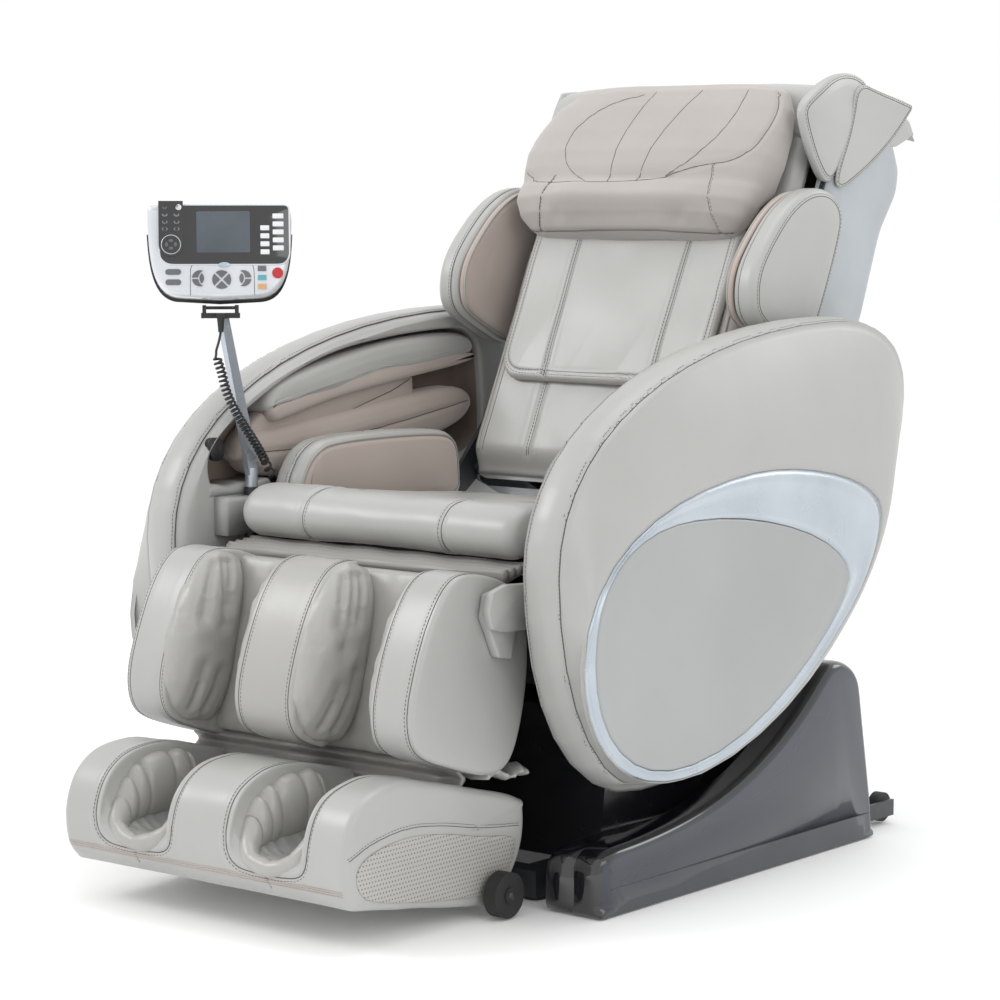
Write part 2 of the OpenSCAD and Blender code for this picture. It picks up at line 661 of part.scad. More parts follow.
// The free cord as one tube of the coil's outer width
function dir_at(i) = let (n = len(cord_route) - 1) cord_route[min(i + 1, n)] - cord_route[max(i - 1, 0)];
function unit(v) = v / norm(v);
function cord_ring(i) = let (d = unit(dir_at(i)), u = unit(cross(d, [1, 0.2, 0])), w = cross(d, u))
    [for (k = [0:9]) cord_route[i] + cord_r * (cos(36 * k) * u + sin(36 * k) * w)];
module remote_cord() color("#0d0d0e") {
    n = len(cord_route);
    polyhedron(
        points = [for (i = [0:n - 1]) each cord_ring(i)],
        faces = concat([[for (k = [9:-1:0]) k]], [[for (k = [0:9]) (n - 1) * 10 + k]],
            [for (i = [0:n - 2], k = [0:9])
                [i * 10 + k, i * 10 + (k + 1) % 10, (i + 1) * 10 + (k + 1) % 10, (i + 1) * 10 + k]]));
}

module power_key() color("#b5161c") key() power_shape();
module grey_key() color("#5c6066") key() key_shape(47);
module teal_key() color("#4fa9b5") key() key_shape(33);
module orange_key() color("#d9a070") key() key_shape(19);
module upper_rocker_key() color("#4b4e54") key() rocker_shape(42);
module lower_rocker_key() color("#4b4e54") key() rocker_shape(26);
module keypad() {
    in_face() face_plate(-29.4, -27) children();
}
module keypad_left() color("#63676d") {
    keypad() keypad_left_shape();
    in_face() face_plate(-27, -22) translate([-31, 32]) circle(r = 13);
}
module keypad_centre() color("#63676d") {
    keypad() keypad_centre_shape();
    in_face() face_plate(-27, -22) translate([2, 30]) circle(r = 14.6);
}
module keypad_right() color("#63676d") {
    keypad() keypad_right_shape();
    in_face() face_plate(-27, -22) translate([35, 32]) circle(r = 13);
}

base_frame();
side_skirt_left();
side_skirt_right();
centre_cover();
control_box();
air_pump();
feet();
power_switch();
rear_caster_left();
rear_caster_right();
tilt_actuator();
tilt_rod();
seat_frame();
seat_pad();
hip_bolster_left();
hip_bolster_right();
pod_left();
pod_right();
pod_trims();
pod_panels();
arm_pad_left();
arm_pad_right();
forearm_rest_left();
forearm_rest_right();
seat_gaiter();
recline_actuator();
recline_rod();
leg_actuator();
leg_rod();
back_frame();
back_shell();
back_pad();
back_hood();
wing_left();
wing_right();
head_pillow();
massage_carriage();
kneading_rollers();
leg_frame();
calf_cradle();
calf_bolster_left();
calf_bolster_centre();
calf_bolster_right();
foot_cradle();
foot_roller_left();
foot_roller_right();
remote_arm();
console_body();
console_panel();
mini_remote();
remote_cord();
power_key();
grey_key();
teal_key();
orange_key();
upper_rocker_key();
lower_rocker_key();
keypad_left();
keypad_centre();
keypad_right();
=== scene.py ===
"""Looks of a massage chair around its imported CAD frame: leather and fabric upholstery, glossy skirts,
console with keys, curly cord, stitching and studio light. Shapes are worked out in millimetres."""
import json
import math

import bmesh
import bpy
import numpy as np
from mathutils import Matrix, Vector
from mathutils.bvhtree import BVHTree
from mathutils.kdtree import KDTree


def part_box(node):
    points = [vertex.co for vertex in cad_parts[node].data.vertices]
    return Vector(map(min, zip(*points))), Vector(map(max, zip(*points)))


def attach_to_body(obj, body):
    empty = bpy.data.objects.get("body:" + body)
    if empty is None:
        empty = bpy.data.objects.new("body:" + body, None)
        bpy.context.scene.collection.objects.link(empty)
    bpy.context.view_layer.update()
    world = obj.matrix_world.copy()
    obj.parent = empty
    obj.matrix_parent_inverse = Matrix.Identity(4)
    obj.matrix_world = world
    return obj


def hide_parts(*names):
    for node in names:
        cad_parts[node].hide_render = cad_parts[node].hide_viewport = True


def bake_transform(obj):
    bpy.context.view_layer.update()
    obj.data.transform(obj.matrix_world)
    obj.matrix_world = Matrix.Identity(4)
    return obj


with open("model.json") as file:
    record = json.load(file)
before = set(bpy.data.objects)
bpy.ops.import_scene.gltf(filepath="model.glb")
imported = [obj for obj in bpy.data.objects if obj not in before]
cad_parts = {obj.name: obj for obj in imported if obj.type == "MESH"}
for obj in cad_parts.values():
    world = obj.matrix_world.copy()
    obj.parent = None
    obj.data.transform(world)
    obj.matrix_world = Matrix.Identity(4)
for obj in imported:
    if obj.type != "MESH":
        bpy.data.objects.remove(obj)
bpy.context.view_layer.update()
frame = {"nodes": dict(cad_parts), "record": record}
nodes = frame["nodes"]
MM = 0.001


def box_mm(node):
    """A node's low and high corners in millimetres."""
    lo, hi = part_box(node)
    return np.array(lo) / MM, np.array(hi) / MM


# ---------- frames and driving sizes ----------

BACK_PIVOT, BACK_LEAN = (150.0, 545.0), math.radians(25)
LEG_PIVOT, LEG_LEAN = (-450.0, 448.0), math.radians(13)
CONSOLE_AT = np.array([-318.0, -366.0, 853.0])
CONSOLE_YAW, CONSOLE_TILT, FACE_LIFT = math.radians(45), math.radians(12), 9.0
POD_IN = box_mm("forearm_rest_right")[0][0] - 4
POD_OUT = box_mm("pod_trims")[1][0] - 6
SHELL_HW = box_mm("back_shell")[1][0]
LEG_HW = box_mm("calf_cradle")[1][0]
CALF_IN = box_mm("calf_bolster_right")[0][0]
MID_HW = box_mm("calf_bolster_centre")[1][0]
ROLL_HW = box_mm("seat_pad")[1][0]
SIDES = ((1, "right"), (-1, "left"))


def turned(points, pivot, lean):
    """Points [x, y, z] of a frame that stands at pivot (y, z) and leans back by lean."""
    p = np.asarray(points, float)
    s, c = math.sin(lean), math.cos(lean)
    return np.stack([p[..., 0], pivot[0] + p[..., 1] * c + p[..., 2] * s,
                     pivot[1] - p[..., 1] * s + p[..., 2] * c], -1)


def in_back(points):
    """The back's own frame: +Z up the back, -Y to its front."""
    return turned(points, BACK_PIVOT, BACK_LEAN)


def in_leg(points):
    """The calf section's own frame: -Z down the calf, -Y to its front."""
    return turned(points, LEG_PIVOT, LEG_LEAN)


def in_face(points):
    """The console's own frame: X across, Z up its face, -Y out of it."""
    p = np.asarray(points, float)
    s, c = math.sin(CONSOLE_TILT), math.cos(CONSOLE_TILT)
    z = p[..., 2] + FACE_LIFT
    y = p[..., 1] * c + z * s
    z = z * c - p[..., 1] * s
    s, c = math.sin(CONSOLE_YAW), math.cos(CONSOLE_YAW)
    return np.stack([p[..., 0] * c - y * s, p[..., 0] * s + y * c, z], -1) + CONSOLE_AT


def same(points):
    """The chair's own frame."""
    return np.asarray(points, float)


# ---------- outlines ----------

def bez(a, b, c, d, n):
    """A cubic curve's points, without its last."""
    t = (np.arange(n) / n)[:, None]
    a, b, c, d = (np.array(q, float) for q in (a, b, c, d))
    return (1 - t) ** 3 * a + 3 * (1 - t) ** 2 * t * b + 3 * (1 - t) * t * t * c + t ** 3 * d


def chaikin(points, times=3, closed=True):
    """Cuts an outline's corners round; the result stays inside it."""
    p = np.asarray(points, float)
    for _ in range(times):
        q = np.roll(p, -1, 0) if closed else p[1:]
        base = p if closed else p[:-1]
        cut = np.stack([base * 0.75 + q * 0.25, base * 0.25 + q * 0.75], 1).reshape(-1, p.shape[1])
        p = cut if closed else np.vstack([p[:1], cut, p[-1:]])
    return p


def rounded(points, n, fine=70):
    """An outline with small round corners whose long edges stay straight."""
    return resample(chaikin(resample(points, fine), 3), n)


def resample(points, n, closed=True):
    """n points spaced evenly along a line."""
    p = np.asarray(points, float)
    if closed:
        p = np.vstack([p, p[:1]])
    s = np.r_[0, np.cumsum(np.linalg.norm(np.diff(p, axis=0), axis=1))]
    at = np.linspace(0, s[-1], n, endpoint=not closed)
    return np.stack([np.interp(at, s, p[:, k]) for k in range(p.shape[1])], -1)


def by_angle(outline, centre, n):
    """An outline's points at n even angles round a centre inside it."""
    p = resample(outline, 900) - centre
    angle, r = np.arctan2(p[:, 1], p[:, 0]), np.linalg.norm(p, axis=1)
    order = np.argsort(angle)
    at = np.linspace(-math.pi, math.pi, n, endpoint=False)
    radius = np.interp(at, angle[order], r[order], period=2 * math.pi)
    return np.stack([np.cos(at), np.sin(at)], -1) * radius[:, None] + centre


def inset(outline, d):
    """An outline moved inwards by d along its normals."""
    p = np.asarray(outline, float)
    along = np.roll(p, -1, 0) - np.roll(p, 1, 0)
    out = np.stack([along[:, 1], -along[:, 0]], -1)
    out /= np.linalg.norm(out, axis=1)[:, None] + 1e-9
    q = np.roll(p, -1, 0)
    if (p[:, 0] * q[:, 1] - q[:, 0] * p[:, 1]).sum() < 0:
        out = -out
    return p - out * np.asarray(d, float).reshape(-1, 1)


def smooth(t):
    """A soft step from 0 to 1."""
    t = np.clip(t, 0, 1)
    return t * t * (3 - 2 * t)


# ---------- meshes ----------

def mesh(name, verts, faces, material):
    """A smooth-shaded piece from points in millimetres, with its normals facing out."""
    data = bpy.data.meshes.new(name)
    data.from_pydata((np.asarray(verts, float) * MM).tolist(), [], [list(f) for f in faces])
    data.validate()
    obj = bpy.data.objects.new(name, data)
    bpy.context.scene.collection.objects.link(obj)
    data.materials.append(material)
    data.polygons.foreach_set("use_smooth", [True] * len(data.polygons))
    b = bmesh.new()
    b.from_mesh(data)
    bmesh.ops.recalc_face_normals(b, faces=b.faces)
    b.to_mesh(data)
    b.free()
    return obj


def attach(obj, body, node=None):
    """Fixes a piece to a body; node is the CAD part it replaces, which is hidden."""
    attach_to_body(obj, body)
    if node:
        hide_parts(node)


def mirrored(rings, side):
    """Rings as an array, with X turned over for the left side."""
    r = np.array(rings)
    r[..., 0] *= side
    return r


def at_x(x, outline):
    """A line of [y, z] points stood up at x."""
    return np.column_stack([np.full(len(outline), x), outline])


def grid_faces(m, n, wrap=True):
    """Quads between m rings of n points; wrap joins each ring's last point to its first."""
    faces = []
    for i in range(m - 1):
        for k in range(n if wrap else n - 1):
            a, b = i * n + k, i * n + (k + 1) % n
            faces.append((a, b, b + n, a + n))
    return faces


def loft(name, rings, material, caps=(True, True)):
    """A skin over a list of closed rings of points; caps closes its start and its end."""
    r = np.asarray(rings, float)
    m, n = r.shape[:2]
    faces = grid_faces(m, n)
    if caps[0]:
        faces.append(tuple(range(n)))
    if caps[1]:
        faces.append(tuple((m - 1) * n + k for k in range(n - 1, -1, -1)))
    return mesh(name, r.reshape(-1, 3), faces, material)


def slab(name, outline, layers, place, material, dome=(None, None), mirror=False):
    """Rings of one [y, z] outline across X. A layer is (x, inset); dome adds shrinking rings at each
    end: (x at the start's middle, x at the end's middle), with None for a flat end."""
    rings = [at_x(x, inset(outline, d)) for x, d in layers]
    middle = outline.mean(0)
    steps = np.linspace(0, 1, 9)[1:-1]

    def fill(ring, x_mid):
        x_edge = ring[0, 0]
        out = []
        for t in np.r_[steps, 0.97]:
            flat = ring[:, 1:] * (1 - t) + middle * t
            rise = math.sqrt(1 - (1 - t) ** 2)
            out.append(at_x(x_edge + (x_mid - x_edge) * rise, flat))
        return out

    if dome[0] is not None:
        rings = fill(rings[0], dome[0])[::-1] + rings
    if dome[1] is not None:
        rings = rings + fill(rings[-1], dome[1])
    return loft(name, place(mirrored(rings, -1 if mirror else 1)), material)


def dense(obj):
    """Applies one level of subdivision."""
    m = obj.modifiers.new("Subsurf", "SUBSURF")
    m.levels = m.render_levels = 1
    applied(obj)


def applied(obj):
    """Replaces an object's mesh with what its modifiers make."""
    dg = bpy.context.evaluated_depsgraph_get()
    made = bpy.data.meshes.new_from_object(obj.evaluated_get(dg))
    old = obj.data
    obj.modifiers.clear()
    obj.data = made
    bpy.data.meshes.remove(old)
    made.name = obj.name


def points_of(obj):
    co = np.zeros(len(obj.data.vertices) * 3)
    obj.data.vertices.foreach_get("co", co)
    return co.reshape(-1, 3) / MM


def normals_of(obj):
    n = np.zeros(len(obj.data.vertices) * 3)
    obj.data.vertex_normals.foreach_get("vector", n)
    return n.reshape(-1, 3)


def set_points(obj, co):
    obj.data.vertices.foreach_set("co", (co * MM).ravel())
    obj.data.update()


def push(obj, fn):
    """Moves each point along its normal by fn(points, normals), in millimetres."""
    co, n = points_of(obj), normals_of(obj)
    set_points(obj, co + n * np.asarray(fn(co, n)).reshape(-1, 1))


def waves(points, size, seed, count=7):
    """Smooth seeded noise from -1 to 1, with features about size millimetres across."""
    rng = np.random.default_rng(seed)
    total = np.zeros(len(points))
    for _ in range(count):
        d = rng.normal(size=3)
        d *= rng.uniform(0.6, 1.5) * math.pi / size / np.linalg.norm(d)
        total += np.sin(points @ d + rng.uniform(0, 2 * math.pi))
    return total / count * 1.6


def folds(points, across, size, seed, warp=0.6):
    """Leather folds repeating in the across direction: soft ridges with sharper valleys, from 0 to 1."""
    across = np.asarray(across, float) / np.linalg.norm(across)
    bend = waves(points, size * 3.2, seed) * size * warp
    t = (points @ across + bend) / size * math.pi
    return 1 - np.abs(np.sin(t)) ** 0.7


# ---------- seams ----------

THREADS = {}
STITCH_PITCH = 6.0


def tube(points, radius, sides=8):
    """Vertices and faces of a round tube along a line."""
    p = np.asarray(points, float)
    n = len(p)
    t = np.gradient(p, axis=0)
    t /= np.linalg.norm(t, axis=1)[:, None] + 1e-12
    u = np.cross(t[0], [0.3, 0.5, 0.81])
    u /= np.linalg.norm(u)
    verts = []
    for i in range(n):
        u = u - t[i] * (u @ t[i])
        u /= np.linalg.norm(u)
        w = np.cross(t[i], u)
        a = np.arange(sides) * 2 * math.pi / sides
        verts.append(p[i] + radius * (np.cos(a)[:, None] * u + np.sin(a)[:, None] * w))
    faces = grid_faces(n, sides)
    faces += [tuple(range(sides))[::-1], tuple((n - 1) * sides + k for k in range(sides))]
    return np.vstack(verts), faces


def tree_of(obj):
    return BVHTree.FromPolygons([v.co / MM for v in obj.data.vertices],
                                [tuple(p.vertices) for p in obj.data.polygons])


def on_surface(obj, line):
    """Points of a line laid on a piece, and the piece's normals there."""
    tree = tree_of(obj)
    at, normal = [], []
    for p in line:
        hit, n, _, _ = tree.find_nearest(Vector(p))
        at.append(hit)
        normal.append(n)
    n = np.array(normal, float)
    for _ in range(3):
        n[1:-1] = (n[:-2] + n[1:-1] * 2 + n[2:]) / 4
    return np.array(at, float), n / np.linalg.norm(n, axis=1)[:, None]


def dig(obj, line, depth, width):
    """Presses a groove into a fine mesh along a line that lies on it."""
    tree = KDTree(len(line))
    for i, p in enumerate(line):
        tree.insert(Vector(p), i)
    tree.balance()
    co, n = points_of(obj), normals_of(obj)
    far = np.array([tree.find(Vector(p))[2] for p in co])
    shape = np.exp(-(far / width) ** 2) - 0.35 * np.exp(-((far - 2.6 * width) / width) ** 2)
    set_points(obj, co - n * (depth * shape)[:, None])


def inflate(obj, cap, voxel=5.0, pressure=4.0, frames=20):
    """Swells a padded piece with a short cloth simulation; no point moves more than cap millimetres."""
    remesh = obj.modifiers.new("even", "REMESH")
    remesh.mode, remesh.voxel_size, remesh.use_smooth_shade = "VOXEL", voxel * MM, True
    applied(obj)
    before = points_of(obj)
    cloth = obj.modifiers.new("cloth", "CLOTH")
    cloth.settings.quality = 5
    cloth.settings.mass = 0.3
    cloth.settings.tension_stiffness = cloth.settings.compression_stiffness = 12.0
    cloth.settings.shear_stiffness = 6.0
    cloth.settings.bending_stiffness = 0.6
    cloth.settings.use_pressure = True
    cloth.settings.uniform_pressure_force = pressure
    cloth.settings.effector_weights.gravity = 0.0
    cloth.point_cache.frame_start, cloth.point_cache.frame_end = 1, frames
    scene = bpy.context.scene
    for frame_number in range(1, frames + 1):
        scene.frame_set(frame_number)
    shape = obj.evaluated_get(bpy.context.evaluated_depsgraph_get())
    after = np.empty(len(shape.data.vertices) * 3)
    shape.data.vertices.foreach_get("co", after)
    obj.modifiers.remove(cloth)
    scene.frame_set(1)
    move = after.reshape(-1, 3) / MM - before
    far = np.linalg.norm(move, axis=1)
    set_points(obj, before + move * np.minimum(1, cap / np.maximum(far, 1e-6))[:, None])
    dense(obj)


def seam(obj, line, body, depth=1.6, width=3.0, stitch=(5.5,), thread=0.55, piping=0.0, step=3.0,
         tone="thread"):
    """Sews a line into a piece: a groove, a thread along it and rows of stitches beside it, or a piping
    of that radius instead. Stitches stand at the offsets in stitch; the threads wait in THREADS."""
    line = np.asarray(line, float)
    length = np.linalg.norm(np.diff(line, axis=0), axis=1).sum()
    line = resample(line, max(4, int(length / step)), closed=False)
    at, n = on_surface(obj, line)
    if depth:
        dig(obj, at, depth, width)
        at, n = on_surface(obj, at)
    store = THREADS.setdefault((body, tone), [])
    if piping:
        THREADS.setdefault((body, "piping"), []).append(tube(at + n * piping * 0.5, piping))
        return
    if thread:
        store.append(tube(at + n * 0.1, thread, 5))
    t = np.gradient(at, axis=0)
    t /= np.linalg.norm(t, axis=1)[:, None] + 1e-9
    side = np.cross(n, t)
    for off in stitch:
        row, rn = on_surface(obj, at + side * off)
        rt = np.gradient(row, axis=0)
        rt /= np.linalg.norm(rt, axis=1)[:, None] + 1e-9
        every = max(1, int(round(STITCH_PITCH / step)))
        for i in range(0, len(row) - 1, every):
            p, d, u = row[i] + rn[i] * 0.15, rt[i] * 1.9, rn[i] * 0.45
            w = np.cross(rt[i], rn[i]) * 0.5
            box = [p - d - w, p + d - w, p + d + w, p - d + w, p - d * 0.6 + u, p + d * 0.6 + u]
            store.append((np.array(box), [(0, 1, 5, 4), (3, 4, 5, 2), (0, 4, 3), (1, 2, 5)]))


def sew_all(materials):
    """Joins each body's threads into one piece."""
    for (body, tone), parts in sorted(THREADS.items()):
        verts, faces, start = [], [], 0
        for v, f in parts:
            verts.append(v)
            faces += [tuple(start + k for k in face) for face in f]
            start += len(v)
        attach(mesh(f"{tone}_{body}", np.vstack(verts), faces, materials[tone]), body)


# ---------- materials ----------

def noise(tree, scale, detail=3.0, rough=0.5):
    """A noise texture in the object's own coordinates."""
    n = tree.nodes.new("ShaderNodeTexNoise")
    n.inputs["Scale"].default_value = scale
    n.inputs["Detail"].default_value = detail
    n.inputs["Roughness"].default_value = rough
    c = tree.nodes.get("Coordinates") or tree.nodes.new("ShaderNodeTexCoord")
    c.name = "Coordinates"
    tree.links.new(c.outputs["Object"], n.inputs["Vector"])
    return n


def ramp(tree, source, stops):
    """A colour ramp of two stops, each a grey value or a colour."""
    r = tree.nodes.new("ShaderNodeValToRGB")
    for i, (at, value) in enumerate(stops):
        e = r.color_ramp.elements[i]
        e.position = at
        e.color = (*value, 1) if hasattr(value, "__len__") else (value, value, value, 1)
    tree.links.new(source, r.inputs["Fac"])
    return r


def bump(tree, source, strength, distance, shader, before=None):
    """A bump on the shader's normal, over the bump before it."""
    b = tree.nodes.new("ShaderNodeBump")
    b.inputs["Strength"].default_value = strength
    b.inputs["Distance"].default_value = distance
    tree.links.new(source, b.inputs["Height"])
    if before is not None:
        tree.links.new(before.outputs["Normal"], b.inputs["Normal"])
    tree.links.new(b.outputs["Normal"], shader.inputs["Normal"])
    return b


def varied(name, dark, light, scale, rough):
    """A principled material whose colour and roughness drift with noise."""
    m = bpy.data.materials.new(name)
    m.use_nodes = True
    t = m.node_tree
    s = t.nodes["Principled BSDF"]
    colour = ramp(t, noise(t, scale, 4.0).outputs["Fac"], [(0.3, dark), (0.7, light)])
    t.links.new(colour.outputs["Color"], s.inputs["Base Color"])
    r = ramp(t, noise(t, scale * 2.7, 2.0).outputs["Fac"], [(0.3, rough[0]), (0.7, rough[1])])
    t.links.new(r.outputs["Color"], s.inputs["Roughness"])
    return m, t, s


def leather(name, dark, light, rough=(0.30, 0.40), grain=0.14, crease=0.22):
    """Coated leather: a fine pebble grain over soft, wide unevenness."""
    m, t, s = varied(name, dark, light, 3.5, rough)
    s.inputs["Specular IOR Level"].default_value = 0.5
    s.inputs["Coat Weight"].default_value = 0.12
    s.inputs["Coat Roughness"].default_value = 0.28
    cells = t.nodes.new("ShaderNodeTexVoronoi")
    cells.feature = "DISTANCE_TO_EDGE"
    cells.inputs["Scale"].default_value = 520.0
    t.links.new(t.nodes["Coordinates"].outputs["Object"], cells.inputs["Vector"])
    pebble = ramp(t, cells.outputs["Distance"], [(0.0, 0.0), (0.16, 1.0)])
    soft = noise(t, 26.0, 3.0, 0.55)
    first = bump(t, soft.outputs["Fac"], crease, 0.0016, s)
    bump(t, pebble.outputs["Color"], grain, 0.0002, s, first)
    return m


def fabric(name, dark, light):
    """Brushed cloth with a sheen and a fine weave."""
    m, t, s = varied(name, dark, light, 5.0, (0.78, 0.92))
    s.inputs["Sheen Weight"].default_value = 0.35
    s.inputs["Sheen Roughness"].default_value = 0.5
    s.inputs["Specular IOR Level"].default_value = 0.25
    cells = t.nodes.new("ShaderNodeTexVoronoi")
    cells.inputs["Scale"].default_value = 900.0
    t.links.new(t.nodes["Coordinates"].outputs["Object"], cells.inputs["Vector"])
    soft = bump(t, noise(t, 18.0, 2.0).outputs["Fac"], 0.18, 0.0015, s)
    bump(t, cells.outputs["Distance"], 0.3, 0.0002, s, soft)
    return m


def plastic(name, dark, light, rough, metal=0.0, coat=0.0, texture=0.0, scale=9.0):
    """Plastic, paint, rubber or metal, with a fine texture when texture is over zero."""
    m, t, s = varied(name, dark, light, scale, rough)
    s.inputs["Metallic"].default_value = metal
    s.inputs["Coat Weight"].default_value = coat
    s.inputs["Coat Roughness"].default_value = 0.05
    if texture:
        bump(t, noise(t, 700.0, 2.0).outputs["Fac"], texture, 0.0002, s)
    return m


def perforated(name, dark, light):
    """Leather with a staggered pattern of small holes, painted dark as the shade inside them."""
    m = leather(name, dark, light)
    t = m.node_tree
    s = t.nodes["Principled BSDF"]
    split = t.nodes.new("ShaderNodeSeparateXYZ")
    t.links.new(t.nodes["Coordinates"].outputs["Object"], split.inputs[0])

    def calc(kind, a, b=None):
        n = t.nodes.new("ShaderNodeMath")
        n.operation = kind
        for k, v in enumerate((a, b)):
            if v is None:
                continue
            if isinstance(v, float):
                n.inputs[k].default_value = v
            else:
                t.links.new(v, n.inputs[k])
        return n.outputs[0]

    pitch = 160.0
    row = calc("MULTIPLY", split.outputs["Z"], pitch)
    shift = calc("MULTIPLY", calc("FLOOR", row), 0.5)
    column = calc("ADD", calc("MULTIPLY", split.outputs["Y"], pitch), shift)
    dy = calc("SUBTRACT", calc("FRACT", column), 0.5)
    dz = calc("SUBTRACT", calc("FRACT", row), 0.5)
    far = calc("SQRT", calc("ADD", calc("MULTIPLY", dy, dy), calc("MULTIPLY", dz, dz)))
    # dark dots at the holes: painted shade inside the perforations
    hole_shade = ramp(t, far, [(0.17, 0.0), (0.23, 1.0)])
    mix = t.nodes.new("ShaderNodeMix")
    mix.data_type = "RGBA"
    base = s.inputs["Base Color"].links[0].from_socket
    t.links.new(hole_shade.outputs["Color"], mix.inputs["Factor"])
    mix.inputs[6].default_value = (0.12, 0.11, 0.10, 1)
    t.links.new(base, mix.inputs[7])
    t.links.new(mix.outputs[2], s.inputs["Base Color"])
    return m


def screen_glow(name):
    """A dark blue-grey display under a clear coat."""
    m, _, s = varied(name, (0.045, 0.06, 0.075), (0.075, 0.095, 0.115), 12.0, (0.12, 0.18))
    s.inputs["Coat Weight"].default_value = 0.6
    return m


M = {"leather": leather("leather_warm_grey", (0.385, 0.385, 0.372), (0.425, 0.426, 0.413)),
     "panel_leather": leather("leather_panel", (0.330, 0.342, 0.340), (0.368, 0.381, 0.379)),
     "soft_leather": leather("leather_pouches", (0.342, 0.339, 0.322), (0.386, 0.383, 0.366), (0.27, 0.36),
                             # shaded_leather: a darker copy of the leather, painted shade for parts down in
                             # shadow
                             0.12, 0.3), "shaded_leather": leather("leather_in_shade", (0.25, 0.243, 0.230),
                                                                 (0.29, 0.284, 0.271)),
     "fabric": fabric("fabric_beige", (0.42, 0.358, 0.322), (0.47, 0.405, 0.370)),
     "pillow": fabric("fabric_pillow", (0.372, 0.346, 0.326), (0.421, 0.395, 0.376)),
     # the bay's beige lining painted brown: painted shade deep in the arm bay
     "shade_lining": fabric("fabric_lining_painted_shade", (0.20, 0.155, 0.13), (0.26, 0.205, 0.175)),
     "thread": plastic("seam_thread", (0.075, 0.07, 0.062), (0.12, 0.112, 0.10), (0.6, 0.8)),
     "piping": leather("leather_piping", (0.33, 0.31, 0.28), (0.37, 0.35, 0.32)),
     "zip": plastic("seam_thread_warm", (0.36, 0.30, 0.26), (0.45, 0.39, 0.35), (0.5, 0.7)),
     "trim": plastic("paint_silver_blue", (0.42, 0.47, 0.52), (0.50, 0.55, 0.60), (0.26, 0.34), 0.35, 0.5),
     "shell": plastic("plastic_blue_grey", (0.36, 0.39, 0.41), (0.41, 0.44, 0.46), (0.36, 0.46), 0.0, 0.1,
                      # skirt: slate standing for the white studio reflected in black gloss, painted
                      # reflection
                      0.05), "skirt": plastic("slate_painted_reflection", (0.027, 0.030, 0.044), (0.034, 0.037, 0.053),
                                              (0.14, 0.2), 0.0, 0.4), "black": plastic("plastic_black",
                                                                                       (0.008, 0.008, 0.010),
                                                                                       (0.016, 0.016, 0.019),
                                                                                       (0.16, 0.28), 0.0,
                                                                                       0.3),
     "matt_black": plastic("plastic_matt_black", (0.010, 0.010, 0.011), (0.02, 0.02, 0.022), (0.4, 0.55), 0,
                           0, 0.2), "rubber": plastic("rubber_black", (0.012, 0.012, 0.012),
                                                      (0.025, 0.025, 0.025), (0.55, 0.7), 0, 0, 0.3),
     "steel": plastic("painted_steel", (0.045, 0.048, 0.052), (0.07, 0.074, 0.08), (0.35, 0.5), 0.4, 0.0, 0.2,
                      14), "motor": plastic("cast_grey", (0.13, 0.135, 0.145), (0.19, 0.195, 0.21),
                                            (0.4, 0.55), 0.5, 0.0, 0.25, 20), "chrome": plastic("bright_rod",
                                                                                                (0.62, 0.63,
                                                                                                 0.65),
                                                                                                (0.72, 0.73,
                                                                                                 0.75),
                                                                                                (0.12, 0.22),
                                                                                                1.0, 0.0,
                                                                                                0.05, 30),
     "silver": plastic("pearl_silver", (0.60, 0.62, 0.65), (0.70, 0.72, 0.75), (0.20, 0.30), 0.25, 0.5),
     "bar": plastic("satin_bar", (0.40, 0.44, 0.50), (0.50, 0.54, 0.60), (0.24, 0.32), 0.6, 0.3),
     "gloss": plastic("gloss_black", (0.006, 0.006, 0.008), (0.012, 0.012, 0.014), (0.05, 0.10), 0.0, 0.9),
     "screen": screen_glow("display_glass"), "white": plastic("key_white", (0.72, 0.73, 0.74),
                                                              (0.80, 0.81, 0.82), (0.35, 0.45)),
     "grey": plastic("key_dark_grey", (0.10, 0.105, 0.115), (0.15, 0.155, 0.165), (0.28, 0.36), 0.1, 0.2),
     "pad_grey": plastic("key_mid_grey", (0.17, 0.18, 0.19), (0.23, 0.24, 0.25), (0.28, 0.36), 0.2, 0.3),
     "teal": plastic("key_teal", (0.08, 0.33, 0.40), (0.12, 0.39, 0.46), (0.3, 0.4)),
     "orange": plastic("key_orange", (0.60, 0.33, 0.16), (0.68, 0.39, 0.20), (0.3, 0.4)),
     "vent": perforated("leather_perforated", (0.385, 0.378, 0.354), (0.425, 0.418, 0.394)),
     "red": plastic("key_red", (0.42, 0.010, 0.014), (0.52, 0.018, 0.022), (0.22, 0.3), 0.0, 0.4),}
M["joint"] = M["black"]


# ---------- camera and light ----------

